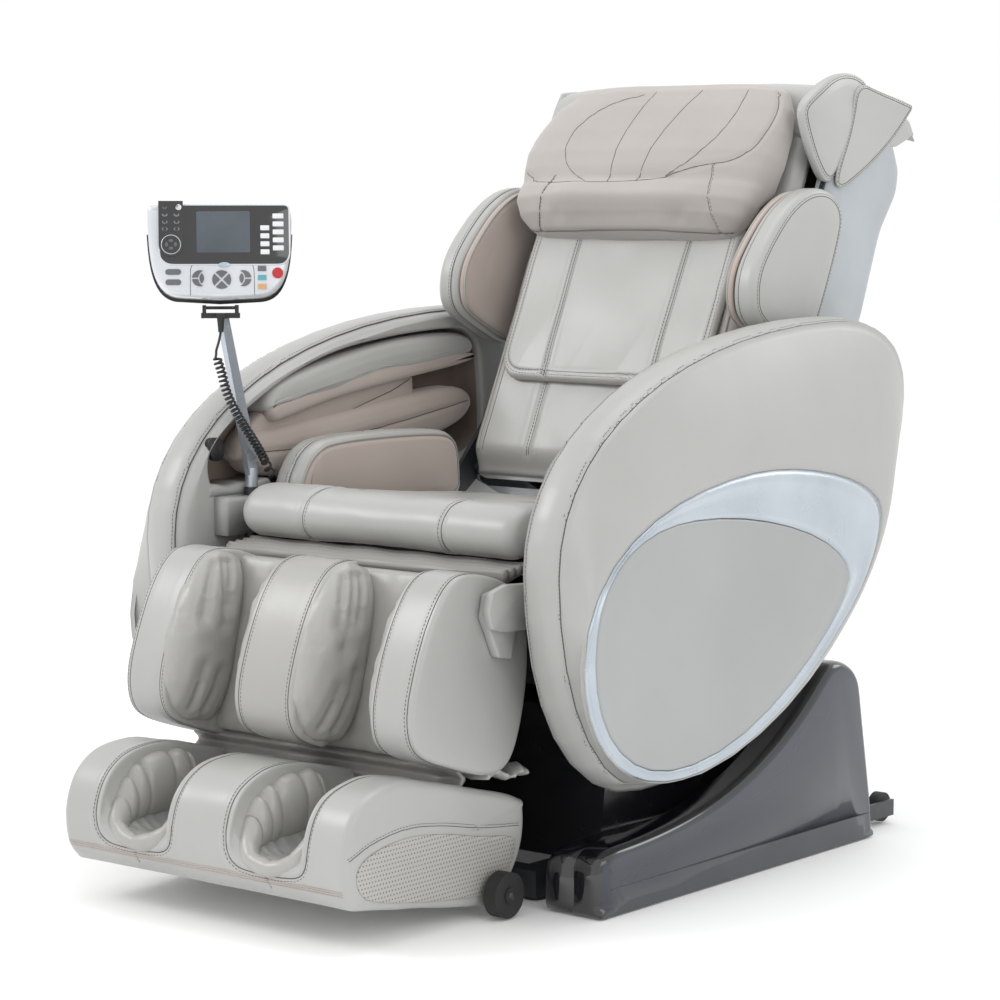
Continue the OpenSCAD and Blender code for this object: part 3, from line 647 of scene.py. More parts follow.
def stage_and_camera():
    """The camera at the photo's place, a white studio, four soft lights and a pale floor."""
    scene = bpy.context.scene
    cam = bpy.data.objects.new("camera", bpy.data.cameras.new("camera"))
    scene.collection.objects.link(cam)
    cam.data.sensor_width = 36.0
    cam.data.lens = 108.65
    cam.location = (2.9538, -3.7191, 1.0398)
    cam.rotation_euler = (math.radians(90 - 5.937), 0, math.radians(39.013))
    cam.data.clip_end = 400
    scene.camera = cam
    scene.view_settings.view_transform = "Standard"
    world = bpy.data.worlds.new("studio")
    scene.world = world
    world.use_nodes = True
    back = world.node_tree.nodes["Background"]
    back.inputs["Color"].default_value = (1.0, 1.0, 1.0, 1)
    back.inputs["Strength"].default_value = 1.0
    lights = [("key", (-2.4, -2.6, 3.0), 1.4, 42), ("fill", (3.2, -1.4, 2.0), 1.6, 12),
              ("top", (0.2, 0.4, 3.6), 2.0, 22), ("rim", (1.6, 3.0, 2.4), 1.4, 14)]
    for name, at, size, power in lights:
        light = bpy.data.lights.new(name, "AREA")
        light.shape = "SQUARE"
        light.size, light.energy = size, power
        obj = bpy.data.objects.new(name, light)
        scene.collection.objects.link(obj)
        obj.location = at
        obj.rotation_euler = (Vector((0, 0, 0.6)) - Vector(at)).to_track_quat("-Z", "Y").to_euler()
    floor = bpy.data.meshes.new("floor")
    r = 160.0
    floor.from_pydata([(-r, -r, 0), (r, -r, 0), (r, r, 0), (-r, r, 0)], [], [(0, 1, 2, 3)])
    ground = bpy.data.objects.new("floor", floor)
    scene.collection.objects.link(ground)
    m, t, s = varied("floor_pale", (0.95, 0.95, 0.95), (0.97, 0.97, 0.97), 0.4, (0.7, 0.8))
    s.inputs["Emission Color"].default_value = (1, 1, 1, 1)
    s.inputs["Emission Strength"].default_value = 0.05
    floor.materials.append(m)


# ---------- cord ----------

CORD_ROUTE = [[-310, -374, 818], [-309, -378, 806], [-308, -383, 796], [-308, -388, 786], [-307, -384, 770],
              [-306, -378, 757], [-305, -370, 727], [-303, -358, 703], [-301, -342, 679], [-299, -322, 654],
              [-298, -303, 630], [-300, -290, 614], [-306, -277, 602], [-311, -262, 588], [-312, -250, 574],
              [-312, -250, 564]]
CORD_D = 4.0
COIL_R = 5.8
TIGHT_TURNS, OPEN_TURNS = 27, 3


def curly_cord():
    """A straight lead, a tight helix and three open turns down to the gland."""
    route = resample(chaikin(CORD_ROUTE, 3, closed=False), 900, closed=False)
    s = np.r_[0, np.cumsum(np.linalg.norm(np.diff(route, axis=0), axis=1))]
    lead, tail = 44.0, s[-1] - 62.0
    tight = np.clip((s - lead) / (tail - lead), 0, 1) * TIGHT_TURNS
    loose = np.clip((s - tail) / (s[-1] - 10 - tail), 0, 1) * OPEN_TURNS
    phase = (tight + loose) * 2 * math.pi
    radius = COIL_R * smooth((s - lead + 8) / 12) * smooth((s[-1] - s) / 12)
    fine = np.linspace(0, s[-1], 900)
    line = np.stack([np.interp(fine, s, route[:, k]) for k in range(3)], -1)
    around, wide = np.interp(fine, s, phase), np.interp(fine, s, radius)
    t = np.gradient(line, axis=0)
    t /= np.linalg.norm(t, axis=1)[:, None]
    u = np.cross(t, [1, 0.2, 0])
    u /= np.linalg.norm(u, axis=1)[:, None]
    w = np.cross(t, u)
    path = line + wide[:, None] * (np.cos(around)[:, None] * u + np.sin(around)[:, None] * w)
    keep = np.r_[True, np.linalg.norm(np.diff(path, axis=0), axis=1) > 0.05]
    path = path[keep]
    verts, faces = tube(path, CORD_D / 2, 8)
    cord = mesh("curly_cord", verts, faces, M["matt_black"])
    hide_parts("remote_cord")
    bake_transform(cord)


# ---------- arm pods ----------

POD_OUTLINE = np.vstack([bez([-452, 500], [-452, 700], [-170, 836], [250, 838], 14),
                         bez([250, 838], [390, 838], [466, 795], [466, 713], 8),
                         bez([466, 713], [466, 600], [360, 446], [280, 318], 8),
                         bez([280, 318], [200, 190], [60, 150], [-180, 150], 8),
                         bez([-180, 150], [-360, 150], [-452, 315], [-452, 500], 8)])
POD_OUTER = np.vstack([bez([-440, 500], [-440, 690], [-165, 824], [250, 826], 12),
                       bez([250, 826], [382, 826], [454, 790], [454, 713], 7),
                       bez([454, 713], [454, 610], [390, 500], [310, 400], 7),
                       bez([310, 400], [230, 305], [60, 200], [-160, 176], 7),
                       bez([-160, 176], [-340, 160], [-440, 315], [-440, 500], 7)])
POD_BAY = [[-368, 560], [-384, 606], [-370, 640], [-330, 672], [-262, 708], [-190, 742], [-100, 770],
           [0, 787], [150, 800], [270, 800], [290, 700], [290, 560]]
TRIM_OUTER = np.vstack([bez([-440, 375], [-440, 560], [-150, 622], [30, 618], 10),
                        bez([30, 618], [180, 614], [330, 575], [330, 530], 8),
                        bez([330, 530], [330, 490], [300, 440], [240, 385], 6),
                        bez([240, 385], [120, 280], [0, 210], [-150, 190], 6),
                        bez([-150, 190], [-330, 166], [-440, 250], [-440, 375], 10)])
PANEL = np.vstack([bez([-420, 380], [-420, 500], [-330, 560], [-180, 560], 9),
                   bez([-180, 560], [0, 560], [232, 500], [232, 436], 9),
                   bez([232, 436], [232, 400], [60, 250], [-120, 212], 8),
                   bez([-120, 212], [-320, 170], [-420, 260], [-420, 380], 9)])
POD_N = 240
# below about this height the pods' inner faces are black
LEATHER_FOOT = 330.0
SEAM_IN, CREST, SEAM_OUT = POD_IN + 16, POD_IN + 45, POD_IN + 75


def radial(outline, centre):
    """The distance from a centre to an outline at POD_N even angles."""
    return np.linalg.norm(by_angle(outline, centre, POD_N) - centre, axis=1)


def ring_at(x, radius, centre):
    """A ring at x with the given radii at POD_N even angles round a centre."""
    at = np.linspace(-math.pi, math.pi, POD_N, endpoint=False)
    return np.column_stack([np.full(POD_N, x), centre[0] + np.cos(at) * radius,
                            centre[1] + np.sin(at) * radius])


def pod(side):
    """One arm pod: the outer skin with two seams, its trim and panel, the inner face and the arm bay."""
    hand = "right" if side > 0 else "left"
    c = np.array([-100.0, 400.0])
    full, outer, trim, panel = (radial(o, c) for o in (POD_OUTLINE, POD_OUTER, TRIM_OUTER, PANEL))
    ring = ring_at(0, full, c)
    low_rear = smooth((ring[:, 1] + 330) / 120) * smooth((640 - ring[:, 2]) / 120)
    crest = full * (1 - low_rear) + outer * low_rear
    drop = 2 + 6 * (1 - low_rear)
    rings = [ring_at(SEAM_IN - 1.8, full - 7, c), ring_at(SEAM_IN, full - 9.5, c),
             ring_at(SEAM_IN + 1.8, full - 5.5, c), ring_at(SEAM_IN + 7, full - 2.8, c),
             ring_at(POD_IN + 30, full - 0.8 - 9 * low_rear, c), ring_at(CREST - 8, crest - 0.4, c),
             ring_at(CREST + 2, crest, c), ring_at(CREST + 12, crest - 0.15 * drop, c),
             ring_at(SEAM_OUT - 9, crest - 0.5 * drop, c), ring_at(SEAM_OUT - 2.5, crest - 0.85 * drop, c),
             ring_at(SEAM_OUT - 0.3, crest - drop - 2.2, c), ring_at(SEAM_OUT + 2, crest - drop - 1.2, c)]
    edge, steps = crest - drop - 1.2, 16
    for i in range(1, steps + 1):
        t = i / steps
        x = SEAM_OUT + 2 + (POD_OUT - SEAM_OUT - 2) * (1 - (1 - t) ** 2.3)
        rings.append(ring_at(x, edge * (1 - t) + (trim + 1.5) * t, c))
    rings += [ring_at(POD_OUT - 1.5, trim + 0.2, c), ring_at(POD_OUT - 8, trim, c)]
    r = mirrored(rings, side)
    skin = loft(f"pod_skin_{hand}", r, M["leather"], caps=(False, False))

    # trim: a shallow dished band between the skin and the panel
    band = []
    for i in range(9):
        t = i / 8
        x = POD_OUT - 1 + 5.0 * math.sin(math.pi * min(1, t * 6) / 2) - 3.5 * math.sin(math.pi * t) ** 2
        band.append(ring_at(x, trim * (1 - t) + (panel + 0.8) * t, c))
    band = [ring_at(POD_OUT - 8, trim - 0.2, c)] + band + [ring_at(POD_OUT - 7, panel + 0.6, c)]
    trim_piece = loft(f"pod_trim_{hand}", mirrored(band, side), M["trim"], caps=(False, False))

    # panel: a leather pad with a rolled edge
    pad = [ring_at(POD_OUT - 7, panel - 0.2, c), ring_at(POD_OUT + 1, panel, c),
           ring_at(POD_OUT + 3.6, panel - 1.6, c), ring_at(POD_OUT + 4.6, panel - 4.5, c),
           ring_at(POD_OUT + 4.3, panel - 6.5, c)]
    for t in np.linspace(0.06, 0.985, 14):
        pad.append(ring_at(POD_OUT + 4.6 + 4.4 * math.sqrt(1 - (1 - t) ** 2.5), (panel - 6.5) * (1 - t), c))
    panel_piece = loft(f"pod_panel_{hand}", mirrored(pad, side), M["panel_leather"], caps=(False, True))

    # inner face from the seam to the arm bay, with a rolled edge, and the bay's lining, whose brown is
    # painted shade of the deep bay
    bc = np.array([-40.0, 680.0])
    outline_in = radial(resample(r[1][:, 1:], POD_N), bc)
    bay = radial(chaikin(POD_BAY, 3), bc)
    face = [ring_at(SEAM_IN, outline_in, bc), ring_at(SEAM_IN - 5, outline_in - 3, bc),
            ring_at(SEAM_IN - 11, outline_in - 8, bc), ring_at(POD_IN + 1.5, outline_in - 16, bc)]
    for t in np.linspace(0.12, 1, 9):
        face.append(ring_at(POD_IN, (outline_in - 16) * (1 - t) + (bay + 9) * t, bc))
    face += [ring_at(POD_IN + 1, bay + 5, bc), ring_at(POD_IN + 4, bay + 1.5, bc),
             ring_at(POD_IN + 9, bay, bc), ring_at(POD_IN + 16, bay, bc)]
    inner = loft(f"pod_inner_{hand}", mirrored(face, side), M["leather"], caps=(False, False))
    inner.data.materials.append(M["matt_black"])
    cut = bmesh.new()
    cut.from_mesh(inner.data)
    bmesh.ops.bisect_plane(cut, geom=cut.verts[:] + cut.edges[:] + cut.faces[:],
                           plane_co=(0, 0, LEATHER_FOOT * MM), plane_no=(0, 0.25, 1))
    cut.to_mesh(inner.data)
    cut.free()
    for polygon in inner.data.polygons:
        polygon.material_index = int(polygon.center.z + 0.25 * polygon.center.y < LEATHER_FOOT * MM)
    shade_lining = [ring_at(x, bay - 0.3, bc) for x in (POD_IN + 15, POD_IN + 35, POD_IN + 56)]
    shade_lining += [ring_at(POD_IN + 60, bay * k, bc) for k in (0.97, 0.7, 0.4, 0.1)]
    bay_piece = loft(f"pod_lining_{hand}", mirrored(shade_lining, side), M["shade_lining"], caps=(False, True))
    for piece, slot in ((skin, "leather"), (trim_piece, "trim"), (panel_piece, "panel_leather"),
                        (inner, "leather"), (bay_piece, "leather_dark")):
        attach(piece, "seat")
    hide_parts(f"pod_{hand}")
    push(skin, lambda co, n: 0.5 * waves(co, 90, 11) * smooth((np.abs(co[:, 0]) - SEAM_OUT - 4) / 20))
    for ring, offsets in ((r[1], (-5.0, 5.0)), (r[10], (-5.5,))):
        seam(skin, np.vstack([ring, ring[:1]]), "seat", depth=0, thread=1.2,
             stitch=[side * o for o in offsets])
    return skin, trim_piece, panel_piece


def pods():
    """Both arm pods, with the shelf and the floor of each bay and the remote arm's bracket."""
    made = [pod(1), pod(-1)]
    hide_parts("pod_trims")
    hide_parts("pod_panels")
    # a leather shelf and a floor at the foot of each bay, where the remote arm goes in
    for side, hand in SIDES:
        shelf = []
        for y in np.linspace(-372, -130, 50):
            rise = 1.6 * math.sin((y + 372) / 7.5) * smooth((y + 250) / 60) + 1.2 * math.sin(y / 21)
            top = 558 + rise
            section = [[302, 500], [302, top - 8], [304, top - 2], [309, top], [320, top + 0.6], [331, top],
                       [331, 500]]
            shelf.append([[x * side, y, z] for x, z in section])
        attach(loft(f"pod_shelf_{hand}", shelf, M["leather"]), "seat")
        floor = []
        for y in np.linspace(-382, -246, 60):
            top = 577 + 1.4 * math.sin((y + 380) / 9) + 1.8 * math.sin(y / 23)
            section = [[329, 560], [329, top - 6], [333, top - 1], [340, top], [390, top + 2], [391, 560]]
            floor.append([[x * side, y, z] for x, z in section])
        attach(loft(f"bay_floor_{hand}", floor, M["leather"]), "seat")
    plate = [[-372, 612], [-384, 640], [-378, 652], [-350, 650], [-346, 618]]
    bracket = slab("arm_bracket", resample(chaikin(plate, 2), 40), [(-330, 0), (-331, -0.01), (-339, 0)],
                   same, M["matt_black"])
    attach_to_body(bracket, "seat")


PRESSED = 2.2


def soft_slab(name, outline, x0, x1, round_by, place, mat, body, node, bulge, side, n=150, seams=(),
              wave=0.5):
    """A padded slab across X with rolled edges and crowned faces; seams are x positions round it, each
    PRESSED deep and as far to each side."""
    arc = [round_by * (1 - math.cos(a)) for a in np.linspace(0, math.pi / 2, 6)]
    xs = [x0 + d for d in arc] + list(np.linspace(x0 + round_by, x1 - round_by,
                                                  9)[1:-1]) + [x1 - d for d in arc]
    for s in seams:
        xs = [x for x in xs if abs(x - s) > PRESSED] + [s - PRESSED, s, s + PRESSED]
    layers = []
    for x in sorted(xs):
        edge = min(x - x0, x1 - x)
        curve = round_by - math.sqrt(max(0.0, round_by ** 2 - max(0.0, round_by - edge) ** 2))
        layers.append((x, curve + (PRESSED if x in seams else 0)))
    obj = slab(name, resample(outline, n), layers, place, mat, (x0 - bulge, x1 + bulge), side < 0)
    push(obj, lambda co, _: wave * waves(co, 70, len(name)))
    attach(obj, body, node)
    return obj


# ---------- seat ----------

def ring_line(outline, x, place, side):
    """A closed line round an outline at x."""
    line = at_x(x * side, outline)
    return place(np.vstack([line, line[:1]]))


BOLSTER_SIDE = [[-280, 506], [-280, 570], [-268, 600], [-243, 630], [-197, 647], [60, 646], [108, 630],
                [120, 590], [120, 506]]
ARM_PAD_SIDE = [[-250, 690], [-240, 712], [-215, 728], [-140, 748], [-20, 774], [105, 788], [262, 790],
                [262, 745], [60, 724], [-100, 704], [-235, 682]]
FOREARM_SIDE = [[-262, 582], [-290, 610], [-286, 640], [-262, 654], [-100, 668], [60, 686], [262, 706],
                [262, 640], [60, 604], [-120, 586]]
WING_SIDE = [[-76, 262], [-116, 270], [-138, 300], [-146, 340], [-134, 392], [-106, 462], [-58, 518],
             [0, 540], [44, 524], [58, 480], [56, 300], [44, 262]]
CALF_SIDE = [[-15, 46], [-52, 44], [-88, 24], [-114, -30], [-128, -100], [-132, -165], [-116, -208],
             [-86, -226], [-15, -232]]


CALF_SIDE_OUTER = [[-52, 44], [-88, 24], [-114, -30], [-128, -100], [-132, -165], [-116, -208], [-86, -226],
                   [-15, -233], [66, -238], [108, -214], [119, -150], [116, -70], [96, -4], [60, 36],
                   [10, 46]]


def seat():
    """The front roll, the cushion behind it and the hip bolsters."""
    # front roll
    roll = np.vstack([bez([-340, 504], [-395, 504], [-395, 576], [-330, 582], 14),
                      bez([-330, 582], [-310, 583], [-292, 582], [-286, 574], 6), [[-283, 540], [-286, 504]]])
    o = resample(chaikin(roll, 2), 110)
    xs = np.r_[np.linspace(-ROLL_HW, -ROLL_HW + 26, 9), np.linspace(-ROLL_HW + 34, ROLL_HW - 34, 90),
               np.linspace(ROLL_HW - 26, ROLL_HW, 9)]
    rings, middle = [], o.mean(0)
    for x in xs:
        edge = ROLL_HW - abs(x)
        d = 26 - math.sqrt(max(0, 26 ** 2 - max(0, 26 - edge) ** 2))
        sag = 1.6 * math.cos(x / ROLL_HW * math.pi * 1.5) + 0.8
        rings.append(at_x(x, inset(o, d * 0.9 + sag * 0.8)))
    for end in (0, -1):
        ring, x = rings[end], rings[end][0, 0]
        extra = [at_x(x + math.copysign(3.0 * math.sqrt(1 - (1 - t) ** 2), x),
                      ring[:, 1:] * (1 - t) + middle * t) for t in (0.25, 0.5, 0.75, 0.96)]
        rings = extra[::-1] + rings if end == 0 else rings + extra
    obj = loft("seat_roll", rings, M["leather"])
    push(obj, lambda co, n: 0.9 * waves(co, 60, 5) + 0.5 * waves(co, 24, 6))
    attach(obj, "seat", "seat_pad")
    arc = roll[2:20]
    for x in (-137, 137):
        seam(obj, at_x(x, arc), "seat", 2.4, 4.0, stitch=(math.copysign(5.5, x),))
    low = [[x, -352, 506] for x in np.linspace(-ROLL_HW + 14, ROLL_HW - 14, 60)]
    seam(obj, low, "seat", 1.0, 3.0, stitch=(), piping=1.6)

    # cushion behind the roll
    hw, n_top = 231.0, 70
    top = np.array([[-284, 574], [-240, 574], [-171, 566], [-80, 557], [0, 549], [60, 545], [85, 543],
                    [99, 531]])
    top = resample(chaikin(top, 2, closed=False), n_top, closed=False)
    rings = []
    for t in np.linspace(-1, 1, 60):
        edge = hw * (1 - abs(t))
        fall = 14 * (1 - math.sqrt(1 - max(0, 1 - edge / 24) ** 2)) + 3 * t * t
        rings.append(at_x(t * hw, np.vstack([top - [0, fall], [[99, 506], [-284, 506]]])))
    obj = loft("seat_cushion", rings, M["leather"])
    push(obj, lambda co, n: (0.9 * waves(co, 75, 8) + 0.4 * waves(co, 26, 9)) * (n[:, 2] > 0.2))
    attach(obj, "seat")
    for x in (-137, 137):
        seam(obj, [[x, y, 570] for y in np.linspace(-280, 90, 60)], "seat", 1.8, 3.5, stitch=(5.5, -5.5))

    for side, hand in SIDES:
        o = resample(chaikin(BOLSTER_SIDE, 3), 150)
        shape = soft_slab(f"hip_bolster_{hand}", o, 237, 297, 16, same, M["leather"], "seat",
                          f"hip_bolster_{hand}", 1.0, side, seams=(262.0,))
        pad = slab(f"hip_face_{hand}", inset(o, 11), [(244, 0), (238, 0), (235.6, 2.5), (234.6, 7)], same,
                   M["fabric"], mirror=side < 0)
        attach(pad, "seat")
        seam(shape, ring_line(inset(o, 8), 238.2, same, side), "seat", 0.8, 3.0, stitch=(), piping=1.9)
        seam(shape, ring_line(o, 262, same, side), "seat", 0, stitch=(5.0,))


def arm_pads():
    """Upper arm pad of leather with a fabric underside, the sleeve's fabric wall, and the forearm rest."""
    lower = [[-236, 672], [-244, 688], [-225, 700], [-140, 713], [-20, 740], [105, 757], [262, 760],
             [266, 744], [60, 721], [-100, 700], [-228, 670]]
    lower = resample(chaikin(lower, 3), 150)
    wall = resample(chaikin([[-300, 598], [-306, 632], [-240, 690], [-60, 740], [110, 770], [128, 700],
                             [118, 622], [0, 606]], 3), 150)
    for side, hand in SIDES:
        o = resample(chaikin(ARM_PAD_SIDE, 3), 150)
        soft_slab(f"arm_pad_{hand}", inset(o, -4), 326, 392, 20, same, M["leather"], "seat",
                  f"arm_pad_{hand}", 2.0, side, wave=1.4)
        face = slab(f"arm_pad_face_{hand}", lower,
                    [(350, -3.0), (336, -2.6), (329, -0.5), (326, 3), (325, 7)], same, M["fabric"],
                    mirror=side < 0)
        sleeve = slab(f"arm_sleeve_{hand}", wall, [(380, 0), (352, 0), (347, 2), (345, 6)], same, M["fabric"],
                      dome=(None, 341), mirror=side < 0)
        for piece in (face, sleeve):
            attach(piece, "seat")
        seam(face, [[326 * side, y, z + 1] for y, z in [[-240, 690], [-225, 699], [-140, 712], [-20, 739],
                                                        [105, 756], [260, 759]]], "seat", 0, stitch=(),
             thread=0.8)
        push(sleeve, lambda co, n: 1.6 * waves(co, 60, 91))
        seam(sleeve, [[343 * side, y, z] for y, z in [[-292, 640], [-240, 642], [-160, 652], [-60, 670],
                                                      [60, 700], [112, 718]]], "seat", 1.4, 3.5, stitch=(),
             thread=0.8)
        rest = soft_slab(f"forearm_rest_{hand}", inset(resample(chaikin(FOREARM_SIDE, 3), 150), -3), 330, 394,
                         20, same, M["fabric"], "seat", f"forearm_rest_{hand}", 2.0, side, wave=1.2)
        seam(rest, [[331 * side, y, z] for y, z in [[-280, 622], [-200, 622], [-60, 634], [100, 654],
                                                    [250, 676]]], "seat", 1.2, 3.5, stitch=(), thread=0.8)


# ---------- backrest ----------

SHELL_SIDE = [[36, 20], [30, 600], [44, 716], [120, 740], [182, 724], [232, 680], [240, 636], [222, 560],
              [230, 420], [226, 200], [190, 60], [150, 20]]


def rear_shell():
    """The moulded shell: closed sides and rear, open to the front behind the cushions."""
    o = rounded(SHELL_SIDE, 200)
    curve = [(SHELL_HW - 24 * (1 - math.cos(a)), 24 * (1 - math.sin(a)))
             for a in np.linspace(math.pi / 2, 0, 7)]
    layers = [(-x, d) for x, d in curve[::-1]] + [(x, 0.0)
                                                  for x in np.linspace(-SHELL_HW + 30, SHELL_HW - 30,
                                                                       22)] + curve
    rings = np.array([at_x(x, inset(o, d)) for x, d in layers])
    m, n = rings.shape[:2]
    flat = rings.reshape(-1, 3)
    faces = []
    for face in grid_faces(m, n):
        at = flat[list(face)].mean(0)
        if not (at[1] < 60 and abs(at[0]) < SHELL_HW - 26):
            faces.append(face)
    faces += [tuple(range(n)), tuple((m - 1) * n + k for k in range(n - 1, -1, -1))]
    shell = mesh("rear_shell", in_back(flat), faces, M["shell"])
    attach(shell, "back", node="back_shell")


def backrest():
    """The shell and the back cushion, with the apron, wings, hood and pillow."""
    rear_shell()
    hw, n_z = 230.0, 110
    rings = []
    for lz in np.linspace(18, 640, n_z):
        half = hw + 20 * smooth((lz - 416) / 14)
        front = -44 + 30 * smooth((lz - 405) / 18)
        front += 26 * (1 - smooth((lz - 18) / 46)) ** 1.5
        row = []
        for t in np.linspace(-1, 1, 72):
            x = half * t
            edge = half * (1 - abs(t))
            roll = 22 * (1 - math.sqrt(1 - max(0, 1 - edge / 22) ** 2))
            hollow = 4.5 * (1 - (x / half) ** 2)
            row.append([x, front + roll * 0.9 + hollow, lz])
        back_row = [[half * t, 17, lz] for t in np.linspace(1, -1, 20)]
        rings.append(row + back_row)
    pad = loft("back_cushion", in_back(np.array(rings)), M["leather"])
    push(pad, lambda co, nn: (1.3 * waves(co, 85, 21) + 0.8 * waves(co, 30, 22)) * (nn[:, 1] < -0.2))
    attach(pad, "back", "back_pad")
    for x in (-112, 112):
        seam(pad, in_back([[x, -45, z] for z in np.linspace(40, 400, 70)]), "back", 3.0, 4.5, stitch=(5.5,))
    for s in (-1, 1):
        edge = [[s * 216, -43, z] for z in np.linspace(46, 405, 80)]
        seam(pad, in_back(edge), "back", 1.2, 3.0, stitch=(), piping=2.2)
        seam(pad, in_back([[s * 205, -46, z] for z in np.linspace(46, 405, 80)]), "back", 0.5, 2.5, stitch=(),
             thread=0.5)

    apron()
    wings()
    hood()
    pillow()


def sheet(name, front, back, n_z, n_x):
    """A leather sheet of the back from n_z rows of n_x front points and as many back points."""
    grid, off = grid_faces(n_z, n_x, wrap=False), n_z * n_x
    rim = list(range(n_x)) + [j * n_x + n_x - 1 for j in range(1, n_z)]
    rim += [(n_z - 1) * n_x + i for i in range(n_x - 2, -1, -1)] + [j * n_x for j in range(n_z - 2, 0, -1)]
    faces = grid + [tuple(q + off for q in face)[::-1] for face in grid]
    faces += [(a, b, b + off, a + off) for a, b in zip(rim, rim[1:] + rim[:1])]
    return mesh(name, in_back(np.vstack([front, back])), faces, M["leather"])


def apron():
    """The leather flap that hangs from the pillow down over the back cushion."""
    half, top, bottom, corner = 208.0, 446.0, 172.0, 42.0
    n_x, n_z = 110, 90
    front, back = [], []
    for v in np.linspace(0, 1, n_z):
        lz = bottom + (top - bottom) * v
        cut = corner - math.sqrt(max(0.0, corner ** 2 - max(0.0, corner - (lz - bottom)) ** 2))
        w = half - cut * 0.9 - 6 * (1 - v) + 2
        for t in np.linspace(-1, 1, n_x):
            x = w * t
            edge = min(w * (1 - abs(t)), lz - bottom + 0.01)
            lift = 9 * math.sqrt(1 - max(0, 1 - edge / 9) ** 2)
            hem = 1.6 * smooth(1 - abs(edge - 7) / 7)
            drape = 2.2 * math.sin(x / 41 + 1.3 * math.sin(lz / 60)) * (1 - v) * smooth(edge / 30)
            gap = 4 * (1 - v) ** 2 + 3.5 * (1 - (x / half) ** 2)
            ly = -50.5 + gap - 5 * (1 - v) - lift - drape * 0.7 + hem * 0.3
            front.append([x, ly, lz])
            back.append([x * 0.995, -46.5 + gap - 5 * (1 - v) + 1, lz + 0.4])
    obj = sheet("back_apron", front, back, n_z, n_x)
    push(obj, lambda co, nn: (1.5 * waves(co, 70, 31) + 1.6 * (folds(co, [1, 0, -0.5], 95, 33) - 0.4)
                              * smooth((860 - co[:, 2]) / 140)) * (nn[:, 1] < -0.3))
    attach(obj, "back")
    for x in (-112, 112):
        seam(obj, in_back([[x * (0.97 + 0.03 * (z - bottom) / 270), -60, z]
                           for z in np.linspace(bottom + 4, top, 70)]), "back", 2.0, 3.5, stitch=(5.0, -5.0))
    # the hem's double stitching: down one side, round the corner, along the bottom and up again
    inner = half - 12
    path = [[-inner, z] for z in np.linspace(top, bottom + 50, 40)]
    path += [[-inner + 38 * (1 - math.cos(a)), bottom + 50 - 38 * math.sin(a)]
             for a in np.linspace(0, math.pi / 2, 12)]
    path += [[x, bottom + 12] for x in np.linspace(-inner + 40, inner - 40, 50)]
    path += [[inner - 38 + 38 * math.sin(a), bottom + 12 + 38 * (1 - math.cos(a))]
             for a in np.linspace(0, math.pi / 2, 12)]
    path += [[inner, z] for z in np.linspace(bottom + 52, top, 40)]
    seam(obj, in_back([[x, -60, z] for x, z in path]), "back", 1.3, 2.6, stitch=(3.5, -3.5), thread=0)


def wings():
    """The padded shoulder wings with their fabric inner faces."""
    for side, hand in SIDES:
        o = resample(chaikin(WING_SIDE, 4), 160)
        wing = soft_slab(f"wing_{hand}", o, 278, 321, 13, in_back, M["leather"], "back",
                         f"wing_{hand}", 4.0, side, seams=(290.0,), wave=0.8)
        seam(wing, ring_line(o, 290, in_back, side), "back", 0, stitch=(4.5,))
        line = ring_line(inset(o, 13), 321, in_back, side)
        seam(wing, line, "back", 0.0, stitch=(4.0,))
        face = resample(inset(o, 5), 150)
        pad = slab(f"wing_face_{hand}", face, [(276, 3), (274, 0.6), (270, 0), (266.6, 1.5), (265, 5),
                                               (264.2, 12)], in_back, M["fabric"], dome=(261.5, None),
                   mirror=side < 0)
        attach(pad, "back")
        seam(pad, ring_line(inset(face, 2.2), 266.4, in_back, side), "back", 0.0, stitch=(), piping=1.8)


